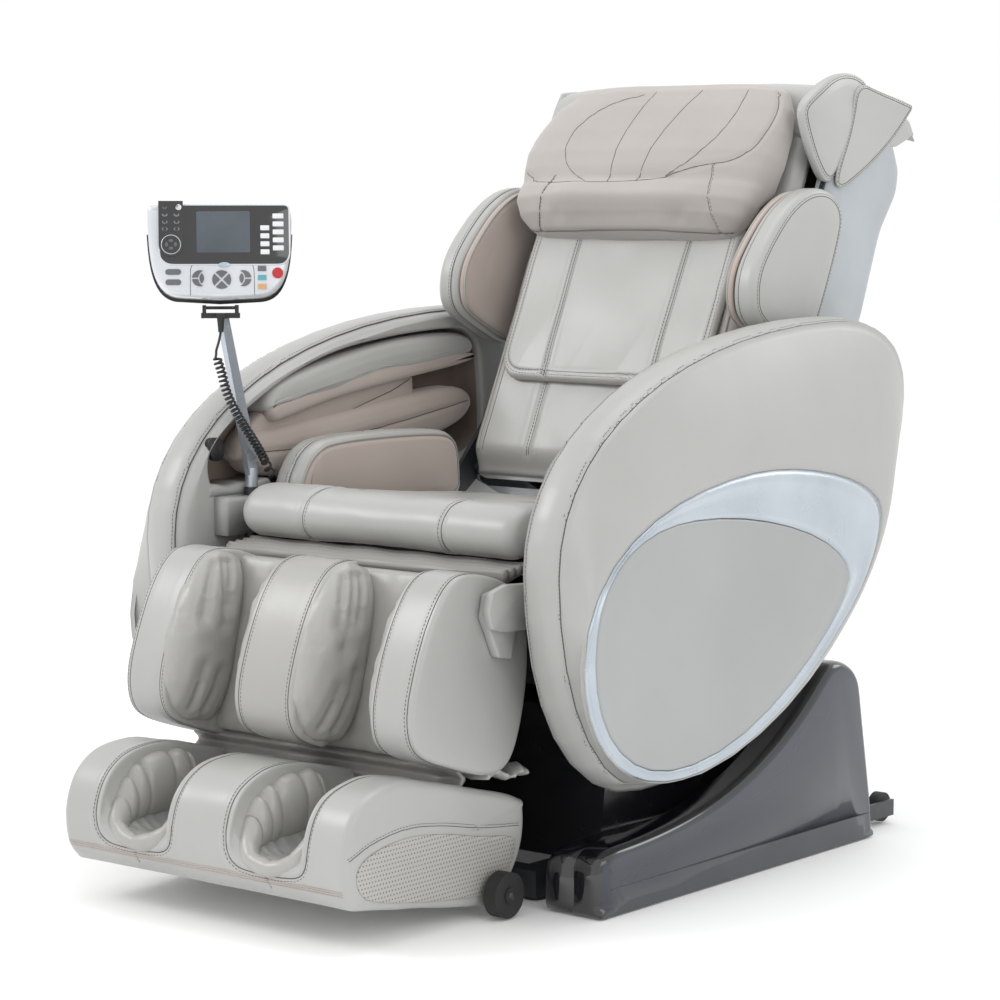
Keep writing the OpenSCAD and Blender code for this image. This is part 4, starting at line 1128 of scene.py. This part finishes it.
def pillow():
    """A fabric pillow: a wide leaning face over a lower roll, with shaped seams."""
    top, bottom = 711.0, 422.0
    half = np.array([[422, 178], [430, 206], [446, 226], [470, 238], [500, 242], [530, 246], [560, 250],
                     [610, 247], [655, 236], [690, 214], [704, 196], [711, 172]])
    front = np.array([[422, -62], [430, -86], [450, -106], [475, -116], [498, -114], [508, -109], [530, -112],
                      [560, -110], [600, -98], [655, -76], [690, -58], [711, -40]])
    rings = []
    for v in np.linspace(0, 1, 90):
        lz = bottom + (top - bottom) * (0.5 - 0.5 * math.cos(v * math.pi))
        w, f = np.interp(lz, half[:, 0], half[:, 1]), np.interp(lz, front[:, 0], front[:, 1])
        b = -48 + 30 * smooth((lz - 470) / 50)
        mid, depth = (f + b) / 2, (b - f) / 2
        ends = smooth(v / 0.10) * smooth((1 - v) / 0.07)
        squeeze = 0.35 + 0.65 * math.sqrt(max(0, ends))
        ring = []
        for a in np.linspace(0, 2 * math.pi, 170, endpoint=False):
            ca, sa = math.cos(a), math.sin(a)
            px = w * math.copysign(abs(ca) ** 0.30, ca)
            py = math.copysign(abs(sa) ** 0.62, sa)
            crown = 7.0 * (1 - (px / w) ** 2) * (1 if sa < 0 else 0) * ends
            hollow = 5.0 * math.exp(-(px / 60) ** 2) * (1 if sa < 0 else 0) * smooth((lz - 520) / 40)
            ring.append([px, mid + depth * py * squeeze - crown + hollow, lz])
        rings.append(ring)
    obj = loft("head_cushion", in_back(np.array(rings)), M["pillow"])
    local = points_of(obj)
    s, c = math.sin(BACK_LEAN), math.cos(BACK_LEAN)
    ly = (local[:, 1] - BACK_PIVOT[0]) * c - (local[:, 2] - BACK_PIVOT[1]) * s
    lz = (local[:, 1] - BACK_PIVOT[0]) * s + (local[:, 2] - BACK_PIVOT[1]) * c
    bumps = np.zeros(len(local))
    for x in (-105, 95):
        bumps += 9.0 * np.exp(-((local[:, 0] - x) / 50) ** 2 - ((lz - 474) / 20) ** 2)
        pinch = np.exp(-((local[:, 0] - x) / 46) ** 2 - ((lz - 446) / 11) ** 2)
        bumps += pinch * (4.2 * np.sin(local[:, 0] / 6.5 + 0.8 * np.sin(local[:, 0] / 13)) - 3.0)
    n = normals_of(obj)
    soft = 1.6 * waves(local, 80, 41) + 0.8 * waves(local, 34, 42)
    set_points(obj, local + n * ((bumps + soft) * (ly < -55))[:, None])
    attach(obj, "pillow", "head_pillow")

    def line(points, **more):
        seam(obj, in_back([[x, np.interp(z, front[:, 0], front[:, 1]) - 8, z] for x, z in points]), "pillow",
             **more)

    edge = [[-238, 520], [-200, 507], [-120, 499], [-20, 498], [60, 504], [100, 520], [150, 532], [196, 540],
            [226, 566], [236, 620], [226, 668], [206, 694]]
    line(chaikin(edge, 3, closed=False), depth=1.6, width=3.2, stitch=())
    line(chaikin([[-84, 500], [-134, 524], [-156, 572], [-146, 624], [-104, 664], [-56, 684]], 3,
                 closed=False), depth=1.1, width=3.0, stitch=())
    line(chaikin([[72, 510], [118, 540], [150, 588], [158, 640], [150, 690]], 3, closed=False), depth=1.1,
         width=3.0, stitch=())
    for foot, head in ((-38, -34), (20, 60)):
        line(chaikin([[foot, 499], [(foot + head) / 2 - 8, 590], [head, 690]], 2, closed=False), depth=1.1,
             width=3.0, stitch=())
    left_side = [[-232, -74, 548], [-240, -70, 600], [-232, -60, 655], [-208, -50, 692]]
    seam(obj, in_back(chaikin(left_side, 3, closed=False)), "pillow", 1.2, 3.0, stitch=())
    for s, top_z in ((-1, 514), (1, 532)):
        down = [[s * 158, -116, top_z], [s * 164, -116, 490], [s * 174, -100, 452], [s * 182, -76, 430]]
        seam(obj, in_back(chaikin(down, 3, closed=False)), "pillow", 1.6, 3.0, stitch=(3.2,))
    hem = [[x, -82 + 12 * (x / 210) ** 2, 431] for x in np.linspace(-204, 204, 90)]
    seam(obj, in_back(hem), "pillow", 1.4, 2.4, stitch=(3.0,))


HOOD_THICK = 10


def hood():
    """Leather cover over the top of the shell, with a rounded shoulder flap, a pointed rear flap and a
    side piece on each hand."""
    profile = np.array([[-12, 630], [-12, 690], [-8, 718], [25, 738], [60, 750], [110, 762], [160, 768],
                        [215, 760], [238, 748]])
    profile = resample(chaikin(profile, 3, closed=False), 60, closed=False)
    xs = np.linspace(-286, 286, 80)
    middle = np.array([[[x, y, z - 9 * (abs(x) / 286) ** 6] for x in xs] for y, z in profile])
    n = np.cross(np.gradient(middle, axis=1), np.gradient(middle, axis=0))
    n /= np.linalg.norm(n, axis=2)[..., None] + 1e-9
    n_z, n_x = middle.shape[:2]
    u, v = np.meshgrid(np.linspace(0, 1, n_x), np.linspace(0, 1, n_z))
    edge = np.minimum(np.minimum(u, 1 - u) * n_x, np.minimum(v, 1 - v) * n_z)
    half = HOOD_THICK * (0.15 + 0.85 * np.sqrt(1 - np.clip(1 - edge / 4, 0, 1) ** 2)) / 2
    out = n * half[..., None]
    top = sheet("hood_top", (middle + out).reshape(-1, 3), (middle - out).reshape(-1, 3), n_z, n_x)
    push(top, lambda co, n: 1.6 * waves(co, 80, 51))
    attach(top, "back", "back_hood")
    for side, hand in SIDES:
        shift = np.array([-14, -22] if side > 0 else [30, -62])
        tongue = np.array([[-78, 664], [-50, 706], [-20, 746], [14, 772], [56, 784], [88, 776], [98, 742],
                           [92, 694], [74, 640], [56, 594], [30, 586], [-10, 606], [-50, 634]]) + shift
        o = resample(chaikin(tongue, 3), 140)
        flap = slab(f"shoulder_flap_{hand}", o, [(271, 6), (270, 2), (272, 0), (277, -0.5), (282, 0),
                                                 (285, 2), (286, 6)], in_back, M["leather"],
                    dome=(269.0, 292.0), mirror=side < 0)
        push(flap, lambda co, n: 2.2 * waves(co, 75, 53) + 0.8 * waves(co, 30, 54))
        seam(flap, ring_line(inset(o, 8), 288, in_back, side), "back", 0.9, 2.5, stitch=(4.0,))
        rear = np.array([[40, 772], [120, 790], [190, 806], [216, 812], [208, 794], [186, 742], [152, 690],
                         [112, 636], [74, 592], [50, 600], [56, 700]]) + shift + [0, -4]
        o = resample(chaikin(rear, 2), 140)
        point = slab(f"rear_flap_{hand}", o, [(287.5, 2), (287, 0), (289, -0.3), (291, 0), (292, 2)], in_back,
                     M["leather"], dome=(287.0, 292.5), mirror=side < 0)
        push(point, lambda co, n: 1.4 * waves(co, 60, 57))
        seam(point, ring_line(inset(o, 5), 292, in_back, side), "back", 0.5, 2.0, stitch=(3.0,))
        gusset = np.array([[-10, 700], [-6, 720], [26, 738], [60, 750], [110, 762], [160, 768], [212, 761],
                           [232, 748], [190, 706], [110, 676], [40, 664], [0, 676]])
        filler = slab(f"hood_side_{hand}", resample(gusset, 90), [(279, 2), (280, 0), (285, 0), (286, 2)],
                      in_back, M["leather"], mirror=side < 0)
        for piece in (flap, point, filler):
            attach(piece, "back")


# ---------- leg rest ----------

def leg_rest():
    """Leather channel with a wrinkled front, three bolsters, and pouches that bulge into the channels."""
    o = resample(chaikin([[-14, 32], [8, 40], [26, 40], [29, -226], [-14, -226]], 3), 130)
    half = LEG_HW - 8
    xs = [half - d for d in (0, 1.5, 5, 10)] + list(np.linspace(half - 16, 16 - half, 46))
    xs += [d - half for d in (10, 5, 1.5, 0)]
    layers = [(x, 8 * (1 - math.sqrt(1 - max(0, 1 - (half - abs(x)) / 10) ** 2))) for x in xs]
    cradle = slab("calf_channel", o, layers, in_leg, M["soft_leather"])
    push(cradle, lambda co, n: (2.4 * (folds(co, [1, 0, -0.25], 34, 61) - 0.4) + 1.2 * waves(co, 40, 62))
         * (n[:, 1] < -0.4))
    attach(cradle, "leg_rest", "calf_cradle")
    for name, x0, x1, side in (("right", CALF_IN, LEG_HW, 1), ("left", CALF_IN, LEG_HW, -1),
                               ("centre", -MID_HW, MID_HW, 1)):
        middle = name == "centre"
        o = resample(chaikin(CALF_SIDE if middle else CALF_SIDE_OUTER, 3), 170)
        near, far = (x0 + 12, x1 - 12) if middle else (x0 + 10, x1 - 11)
        shape = soft_slab(f"calf_pad_{name}", o, x0 + 1, x1 - 1, 9, in_leg,
                          M["soft_leather" if middle else "leather"], "leg_rest",
                          f"calf_bolster_{name}", 1.0, side, n=190, wave=0.6)
        gathers = 1.5 if middle else 0.9
        push(shape, lambda co, n: gathers * (folds(co, [0, 1, -0.3], 26, 63) - 0.4)
             * smooth((abs(n[:, 0]) - 0.55) / 0.3) * (np.abs(co[:, 0]) < LEG_HW - 20))
        for x in (near, far):
            seam(shape, ring_line(o, x, in_leg, side), "leg_rest", 1.6, 3.0,
                 stitch=(4.2 if x == near else -4.2,), thread=0.6)
    # soft air pouches along the channels' sides
    for x, side, reach, seed in ((-CALF_IN, 1, 36, 71), (-MID_HW, -1, 15, 72), (MID_HW, 1, 36, 73),
                                 (CALF_IN, -1, 15, 74)):
        rings = []
        for v in np.linspace(0, 1, 110):
            lz = -219 + 256 * v
            swell = max(0, 1 - abs(2 * v - 1) ** 3.4) ** 0.55
            front = np.interp(lz, [-220, -200, -165, -100, -30, 24, 40],
                              [-98, -118, -131, -128, -114, -90, -70])
            ring = []
            for a in np.linspace(0, 2 * math.pi, 90, endpoint=False):
                out = math.copysign(abs(math.cos(a)) ** 0.75, math.cos(a)) * reach * swell
                ly = (front + 4) / 2 + math.sin(a) * (front - 4) / -2 * (0.5 + 0.5 * swell)
                ring.append([x + side * (out - 3), ly, lz])
            rings.append(ring)
        pouch = loft(f"air_pouch_{seed}", in_leg(np.array(rings)), M["soft_leather"])
        inflate(pouch, 7.0)
        push(pouch, lambda co, n: 1.6 * waves(co, 150, seed) + 0.5 * waves(co, 60, seed + 1))
        rng = np.random.default_rng(seed)
        face = x + side * (reach + 2)
        for end, reach_in, starts in ((34, -120, (-92, -66, -44)), (-214, 110, (-84, -52))):
            for ly in starts:
                drift = rng.uniform(-16, 22)
                far = reach_in * rng.uniform(0.6, 1.0)
                line = in_leg([[face, ly, end], [face, ly + 0.3 * drift, end + 0.4 * far],
                               [face, ly + drift, end + far]])
                at, _ = on_surface(pouch, resample(chaikin(line, 2, closed=False), 40, closed=False))
                dig(pouch, at, 4.2, 9.0)
                dig(pouch, at[:24], 3.0, 4.0)
        attach(pouch, "leg_rest")


# ---------- foot rest ----------

RIB = [[-722, 60], [-740, 78], [-748, 108], [-747, 150], [-728, 194], [-684, 220], [-622, 226], [-560, 214],
       [-520, 204], [-470, 190], [-392, 172], [-357, 157]]
WELL = [[-722, 60], [-740, 78], [-747, 98], [-741, 113], [-720, 112], [-668, 103], [-606, 94], [-560, 90],
        [-541, 118], [-530, 186], [-392, 172], [-357, 157]]
UNDER = [[-353, 112], [-372, 64], [-418, 14], [-440, 14], [-560, 34], [-700, 56]]
WELL_X, WELL_HW, FOOT_HW = 130.0, 69.0, 277.0


def foot_profile(x):
    """The foot section's outline at x, which dips from the rib into a well."""
    u = abs(abs(x) - WELL_X) / WELL_HW
    w = (1 - min(u, 1) ** 4) ** 0.5
    top = chaikin(np.array(RIB) * (1 - w) + np.array(WELL) * w, 3, closed=False)
    edge = FOOT_HW - abs(x)
    d = 12 - math.sqrt(max(0, 144 - max(0, 12 - edge) ** 2))
    ring = np.vstack([top, chaikin([top[-1]] + UNDER + [top[0]], 2, closed=False)[1:-1]])
    return inset(ring, d) if d else ring


def well_roll(x, seed):
    """A gathered leather roll that follows the inside of a foot well: one wall, the front lip and the
    other wall."""
    half = [[64, -546, 162, 22, 44], [67, -600, 166, 26, 48], [67, -655, 164, 26, 46],
            [64, -702, 150, 22, 38], [52, -728, 122, 15, 22], [28, -738, 107, 13, 14], [0, -740, 103, 13, 13]]
    path = np.array([[-h[0]] + h[1:] for h in half] + half[::-1][1:])
    path = resample(chaikin(path, 3, closed=False), 230, closed=False)
    along = np.r_[0, np.cumsum(np.linalg.norm(np.diff(path[:, :3], axis=0), axis=1))]
    rng = np.random.default_rng(seed)
    wobble = np.interp(along, np.linspace(0, along[-1], 14), rng.uniform(-15, 15, 14))
    gather = 1 - np.abs(np.sin((along + wobble) * math.pi / 37)) ** 0.45
    tangent = np.gradient(path[:, :3], axis=0)
    out = np.column_stack([-tangent[:, 1], tangent[:, 0]])
    out /= np.linalg.norm(out, axis=1)[:, None] + 1e-9
    fade = smooth(np.minimum(along, along[-1] - along) / 30)
    rings = []
    for i in range(len(path)):
        ring = []
        for a in np.linspace(0, 2 * math.pi, 44, endpoint=False):
            pinch = gather[i] * (0.06 + 0.26 * (0.5 + 0.5 * math.sin(a + 0.7)) ** 2)
            k = (1 - pinch) * (0.3 + 0.7 * fade[i])
            c = math.cos(a) * path[i, 3] * k
            ring.append([x + path[i, 0] + out[i, 0] * c, path[i, 1] + out[i, 1] * c,
                         path[i, 2] + math.sin(a) * path[i, 4] * k])
        rings.append(ring)
    roll = loft(f"well_roll_{'right' if x > 0 else 'left'}", rings, M["soft_leather"])
    push(roll, lambda co, n: 2.4 * waves(co, 44, seed) + 0.8 * waves(co, 18, seed + 3))
    attach(roll, "foot_rest")


def foot_rest():
    """The foot section with its two wells and seams, the vents, the axle, the tabs behind, and a dark sheet
    of painted shade between calf and foot.
    """
    wall = WELL_HW * np.sin(np.linspace(-math.pi / 2, math.pi / 2, 31))
    inner = np.linspace(-(WELL_X - WELL_HW) + 3, WELL_X - WELL_HW - 3, 22)
    outer = np.r_[np.linspace(WELL_X + WELL_HW + 4, FOOT_HW - 14, 18), FOOT_HW - np.array([10, 6, 3, 1, 0])]
    xs = sorted(set(np.round(np.r_[inner, WELL_X + wall, -WELL_X + wall, outer, -outer], 3)))
    rings = [at_x(x, foot_profile(x)) for x in xs]
    middle = np.array([-560, 120])
    for end in (0, -1):
        ring, x = rings[end], rings[end][0, 0]
        extra = [at_x(x + math.copysign(1.5 * t, x), ring[:, 1:] * (1 - t) + middle * t)
                 for t in (0.08, 0.2, 0.4, 0.6, 0.8, 0.96)]
        rings = extra[::-1] + rings if end == 0 else rings + extra
    shape = loft("foot_section", rings, M["leather"])
    dense(shape)
    co = points_of(shape)
    in_well = smooth((WELL_HW + 2 - np.abs(np.abs(co[:, 0]) - WELL_X)) / 12)
    push(shape, lambda co, n: 0.9 * waves(co, 55, 81) + in_well * 2.2 * (folds(co, [0, 1, 0.2], 20, 82) - 0.4)
         * (np.abs(n[:, 0]) > 0.25))
    attach(shape, "foot_rest", "foot_cradle")
    rib_y, rib_z = zip(*RIB[4:])
    half = [[78, y, np.interp(y, rib_y, rib_z)] for y in np.linspace(-548, -716, 24)]
    half += [[78, -744, 172], [78, -748, 146], [76, -748, 122], [70, -748, 106], [56, -746, 97],
             [34, -745, 94], [0, -745, 93]]
    for s in (-1, 1):
        x = s * WELL_X
        left = [[x - p, y, z] for p, y, z in half]
        right = [[x + p, y, z] for p, y, z in half[::-1][1:]]
        seam(shape, chaikin(left + right, 2, closed=False), "foot_rest", 1.6, 3.0, stitch=(-4.5,), thread=0.7)
        seam(shape, [[x, -746, z] for z in np.linspace(64, 90, 10)], "foot_rest", 1.0, 2.5, stitch=())
        well_roll(x, 90 + s)
    for z in (80.0, 84.0, 88.0):
        seam(shape, [[x, -745, z] for x in np.linspace(-268, 268, 160)], "foot_rest", 0.5, 1.6, stitch=(),
             thread=0.9, tone="zip")
    for s in (-1, 1):
        arc = [[s * 279, y, z] for y, z in [[-738, 132], [-690, 150], [-620, 160], [-540, 150], [-460, 132],
                                            [-372, 122]]]
        seam(shape, chaikin(arc, 2, closed=False), "foot_rest", 1.0, 2.5, stitch=(4.0 * s,))
        vent_side = [[-722, 84], [-728, 118], [-690, 138], [-620, 148], [-540, 139], [-460, 120], [-378, 110],
                     [-384, 78], [-424, 30], [-560, 44], [-690, 66]]
        o = resample(chaikin(vent_side, 3), 110)
        vent = slab(f"foot_vent_{'right' if s > 0 else 'left'}", o, [(276, 1), (278.6, 0), (279.4, 1.5)],
                    same, M["vent"], mirror=s < 0, dome=(None, 280.0))
        attach(vent, "foot_rest")
    verts, faces = tube([[-318, -436, 35.5], [-200, -436, 35.5], [200, -436, 35.5], [318, -436, 35.5]], 6, 20)
    axle = mesh("foot_axle", verts, faces, M["steel"])
    attach(axle, "foot_rest")
    # crumpled tab at each rear corner, and a dark sheet between calf and foot that is painted shade
    for side, hand in SIDES:
        rings = []
        for v in np.linspace(0, 1, 40):
            y = -348 - 96 * v
            z = 197 + 12 * v + 3.5 * math.sin(v * 11)
            t = 5 + 3.0 * math.sin(v * 8 + 1)
            rings.append([[side * q, y + 3 * math.sin(q / 4), z + h] for q,
                          h in [[214, t * 0.4], [236, t], [258, t * 1.2], [276, t * 0.6], [280, -3],
                                [272, -9], [248, -8], [222, -7]]])
        tab = loft(f"ankle_tab_{hand}", rings, M["leather"])
        dense(tab)
        push(tab, lambda co, n: 2.6 * (folds(co, [0.4, 1, 0], 17, 87) - 0.4))
        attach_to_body(tab, "foot_rest")
    rings = []
    for v in np.linspace(0, 1, 40):
        z = 172 + 72 * v
        y = -486 + 5 * math.sin(v * 18)
        rings.append([[q, y + 1.2 * math.sin(q / 9), z] for q in np.linspace(-262, 262, 120)]
                     + [[262, y + 7, z], [-262, y + 7, z]])
    # a sheet in the shaded leather: painted shade filling the gap between calf and foot
    shade_gusset = loft("ankle_shade_gusset", rings, M["shaded_leather"])
    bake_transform(shade_gusset)


def hinge_covers():
    """Leather sleeves over the leg rest's hinge brackets and ears, and a black sheet under the seat that is
    painted shade.
    """
    bracket = rounded([[-338, 412], [-338, 476], [-442, 482], [-474, 474], [-483, 448], [-474, 421],
                       [-440, 414]], 90)
    ear = rounded([[-21, -16], [-21, 16], [-12, 22], [16, 22], [52, -16], [52, -66], [22, -68]], 90)
    for side, hand in SIDES:
        for name, o, x0, x1, place, body in ((f"hinge_cover_{hand}", bracket, 299.2, 311.5, same, "seat"),
                                             (f"hinge_ear_{hand}", ear, 283.5, 298.8, in_leg, "leg_rest")):
            cover = slab(name, o, [(x0, 3), (x0 + 1, 1), (x0 + 3, 0), (x1 - 3, 0), (x1 - 1, 1), (x1, 3)],
                         place, M["leather"], mirror=side < 0)
            attach(cover, body)
        # black sheet under the seat: painted shade
        shade_lining = slab(f"seat_curtain_{hand}", np.array([[-294, 316], [-294, 474], [-300, 474], [-300, 316]]),
                      [(108, 0), (110, -0.01), (284, -0.01), (285, 0)], same, M["matt_black"],
                      mirror=side < 0)
        attach(shade_lining, "seat")


def gaiter():
    """The pleated cloth between the calf section and the seat, coloured in the shaded leather as painted
    shade.
    """
    rings = []
    for i in range(49):
        v = i / 48 * 4
        y = -404 + v * 16
        fold = 0.5 - 0.5 * math.cos(v * 2 * math.pi)
        top = 496 + 1.5 * v - 5 * (1 - fold)
        bottom = 474 + 4 * v
        ring = [[x, y, top + 0.8 * math.sin(x / 17 + v)] for x in np.linspace(-274, 274, 60)]
        rings.append(ring + [[274, y, bottom], [-274, y, bottom]])
    # shaded leather: painted shade under the seat front
    obj = loft("seat_gaiter_cloth", rings, M["shaded_leather"])
    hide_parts("seat_gaiter")
    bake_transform(obj)


# ---------- base ----------

def rim_outline():
    """A skirt's outline: low at the front, up in a wave to a tall fin at the rear."""
    return np.vstack([[[-365, 3], [-365, 62]], bez([-365, 62], [-365, 92], [-345, 98], [-300, 100], 8),
                      bez([-300, 100], [-120, 108], [60, 140], [222, 288], 20),
                      bez([222, 288], [244, 308], [306, 300], [322, 255], 10),
                      [[322, 255], [359, 60], [365, 3]]])


def base():
    """Skirts: black gloss with the outward sides painted slate as painted reflection of the bright studio,
    rounded over to a black rim, on black decks, with a groove above the floor.
    """
    fin = rounded(rim_outline(), 300, 130)
    deck = rounded([[-365, 3], [-365, 66], [-348, 88], [-320, 92], [290, 92], [326, 62], [364, 3]], 200)
    lift = smooth((fin[:, 1] - 6) / 10)
    soft = lift * (1 + 1.2 * smooth((-320 - fin[:, 0]) / 30) * smooth((96 - fin[:, 1]) / 20))
    for side, hand in SIDES:
        edge = ((370, 2), (371, 0.4), (373, 0), (400, 0), (406, 0.5), (411, 2.0), (415, 4.4), (418, 7.6),
                (419.6, 11), (420, 14))
        rings = [at_x(x * side, inset(fin, d * soft)) for x, d in edge]
        skirt = loft(f"skirt_fin_{hand}", rings, M["skirt"])
        skirt.data.materials.append(M["gloss"])
        # faces turned outward take the slate painted reflection; the rest stays black gloss
        for face in skirt.data.polygons:
            face.material_index = int(face.normal.x * side < 0.80)
        low = slab(f"skirt_deck_{hand}", deck, [(320, 1.5), (321.5, 0), (372, 0)], same, M["gloss"],
                   mirror=side < 0)
        for piece in (skirt, low):
            attach(piece, "base")
        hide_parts(f"side_skirt_{hand}")
        line = [[side * 420, y, 42] for y in np.linspace(-340, 352, 90)]
        seam(skirt, line, "base", 0, thread=0.7, stitch=(), tone="joint")


# ---------- console ----------

CONSOLE_FACE = np.vstack([[[-106, 148]], bez([-111, 143], [-110, 60], [-105, 6], [-60, 4], 16), [[0, 1]],
                          bez([60, 4], [105, 6], [110, 60], [111, 143], 16), [[106, 148]]])
PANEL_FACE = [[-92, 146], [-92, 66], [-86, 58], [-78, 54], [96, 54], [103, 60], [106, 68], [106, 146]]


def face_slab(name, outline, layers, mat, body, node=None):
    """A plate in the console's frame: an [x, z] outline through depths y, each with an inset."""
    rings = [[[x, y, z] for x, z in inset(outline, d)] for y, d in layers]
    obj = loft(name, in_face(np.array(rings)), mat)
    attach(obj, body)
    if node:
        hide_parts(node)
    return obj


def box_face(x0, x1, z0, z1, r):
    """A rectangle with round corners of radius r."""
    out = []
    for (cx, cz), a0 in zip(((x1 - r, z0 + r), (x1 - r, z1 - r), (x0 + r, z1 - r), (x0 + r, z0 + r)),
                            (-90, 0, 90, 180)):
        turn = [math.radians(a0 + a) for a in range(0, 91, 15)]
        out += [[cx + r * math.cos(a), cz + r * math.sin(a)] for a in turn]
    return np.array(out)


def oval_face(cx, cz, rx, rz, n=64):
    """An ellipse round (cx, cz)."""
    a = np.linspace(0, 2 * math.pi, n, endpoint=False)
    return np.column_stack([cx + rx * np.cos(a), cz + rz * np.sin(a)])


def console():
    """The console's shell, tray, glass, display, white keys and badge, and the remote docked in it."""
    o = rounded(CONSOLE_FACE, 220, 110)
    layers = [(0, 3), (-1, 0.8), (-3, 0), (-20, 0), (-23, 0.8), (-25.5, 2.6), (-27.2, 5.2), (-28, 8.5)]
    face_slab("console_shell", o, layers, M["silver"], "console", "console_body")
    tray = resample(np.column_stack([CONSOLE_FACE[:, 0] * 1.02,
                                     np.clip(CONSOLE_FACE[:, 1] * 1.04 - 4, -6, 106)]), 180)
    face_slab("console_tray", tray, [(8, 4), (7.4, 1.4), (5.5, 0.2), (0.5, 0)], M["matt_black"], "console")
    p = rounded(PANEL_FACE, 160)
    face_slab("console_glass", p, [(-24.2, 0), (-28.2, 0), (-28.7, 0.4), (-28.9, 1.2)], M["gloss"], "console",
              "console_panel")
    face_slab("panel_lip", rounded(PANEL_FACE, 160), [(-27.4, -2.2), (-28.4, -2.0), (-28.6, -0.6)],
              M["silver"], "console")
    face_slab("display", box_face(-36, 46, 72, 136, 2), [(-28.6, 0), (-29.2, 0), (-29.3, 0.6)], M["screen"],
              "console")
    for name, x0, x1, z0, count in (("right", 81, 98, 75, 5), ("left", 62, 76, 69, 4)):
        for i in range(count):
            z = z0 + 12.5 * i
            face_slab(f"key_{name}_{i}", box_face(x0, x1, z, z + 8, 1.2),
                      [(-28.6, 0), (-29.5, 0.2), (-29.8, 1.0)], M["white"], "console")
    face_slab("badge_blank", oval_face(6, 53, 9.5, 4.2), [(-27.6, 0), (-29.0, 0.2), (-29.4, 1.0)], M["trim"],
              "console")
    shell = bpy.data.objects["console_shell"]
    path = [[-46, 2], [-46, 44], [-44, 52], [-38, 57], [0, 58], [44, 57], [50, 52], [52, 44], [52, 2]]
    seam(shell, in_face([[x, -29, z] for x, z in chaikin(path, 2, closed=False)]), "console", 0, stitch=(),
         thread=0.45, tone="joint", step=1.5)
    remote_details()


def remote_details():
    """Raised rings and small keys on the removable remote."""
    for name, cx, cz, rx, rz, d, finish in (
            ("ring", -75, 84, 15.2, 15.2, 0.5, "silver"), ("dial", -75, 84, 14.2, 14.2, 0.7, "gloss"),
            ("key_up", -75, 90, 3.6, 2.6, 1.4, "grey"), ("key_down", -75, 78, 3.6, 2.6, 1.4, "grey"),
            ("key_a", -82, 84, 2.6, 3.6, 1.4, "grey"), ("key_b", -68, 84, 2.6, 3.6, 1.4, "grey"),
            ("key_c", -84, 108, 4.4, 2.8, 1.0, "pad_grey"), ("key_d", -66, 108, 4.4, 2.8, 1.0, "pad_grey"),
            ("key_e", -84, 119, 4.4, 2.8, 1.0, "pad_grey"), ("key_f", -66, 119, 4.4, 2.8, 1.0, "pad_grey"),
            ("key_g", -84, 130, 4.4, 2.8, 1.0, "pad_grey"), ("key_h", -66, 130, 4.4, 2.8, 1.0, "pad_grey"),
            ("power", -63, 142, 4.6, 4.6, 1.2, "silver"), ("lamp", -84, 142, 3.4, 3.4, 1.0, "grey")):
        face_slab(f"mini_{name}", oval_face(cx, cz, rx, rz, 40),
                  [(-32, 0), (-33 - d * 0.8, 0), (-33 - d, 0.5)], M[finish], "mini_remote")


FINISH = {
    "base_frame": "steel", "centre_cover": "black", "control_box": "matt_black", "air_pump": "motor",
    "tilt_motor": "motor", "tilt_rod": "chrome", "seat_frame": "steel", "recline_actuator": "motor",
    "leg_actuator": "motor", "recline_rod": "chrome", "leg_rod": "chrome", "back_frame": "steel",
    "leg_frame": "steel", "remote_arm": "bar", "carriage": "motor",
}


SWIVEL_FOOT = 0.806


def finish_cad():
    """Gives every CAD node that still shows a procedural finish, by its name or its slot."""
    by_slot = {"key_red": "red", "key_grey": "grey", "key_teal": "teal", "key_orange": "orange",
               "rubber": "rubber", "motor": "motor", "rod": "chrome", "steel": "steel",
               "housing": "matt_black", "skirt": "skirt", "cover": "skirt", "shell": "shell", "trim": "trim",
               "arm": "bar", "console": "silver", "panel": "gloss", "fabric": "fabric", "leather": "leather",
               # the leather_dark slot takes the shaded leather, painted shade
               "leather_dark": "shaded_leather", "panel_leather": "leather", "cord": "matt_black"}
    slots = {p["node"]: p["material_slot"] for p in frame["record"]["subparts"]}
    for name, obj in nodes.items():
        if obj.hide_render or obj.type != "MESH":
            continue
        key = FINISH.get(name) or by_slot.get(slots.get(name), "matt_black")
        obj.data.materials.clear()
        obj.data.materials.append(M[key])
    # the arm's swivel, above this height in metres, is black
    arm = nodes["remote_arm"]
    arm.data.materials.append(M["matt_black"])
    for face in arm.data.polygons:
        face.material_index = int(face.center.z > SWIVEL_FOOT)


stage_and_camera()
curly_cord()
pods()
seat()
arm_pads()
gaiter()
hinge_covers()
backrest()
leg_rest()
foot_rest()
base()
console()
finish_cad()
sew_all(M)
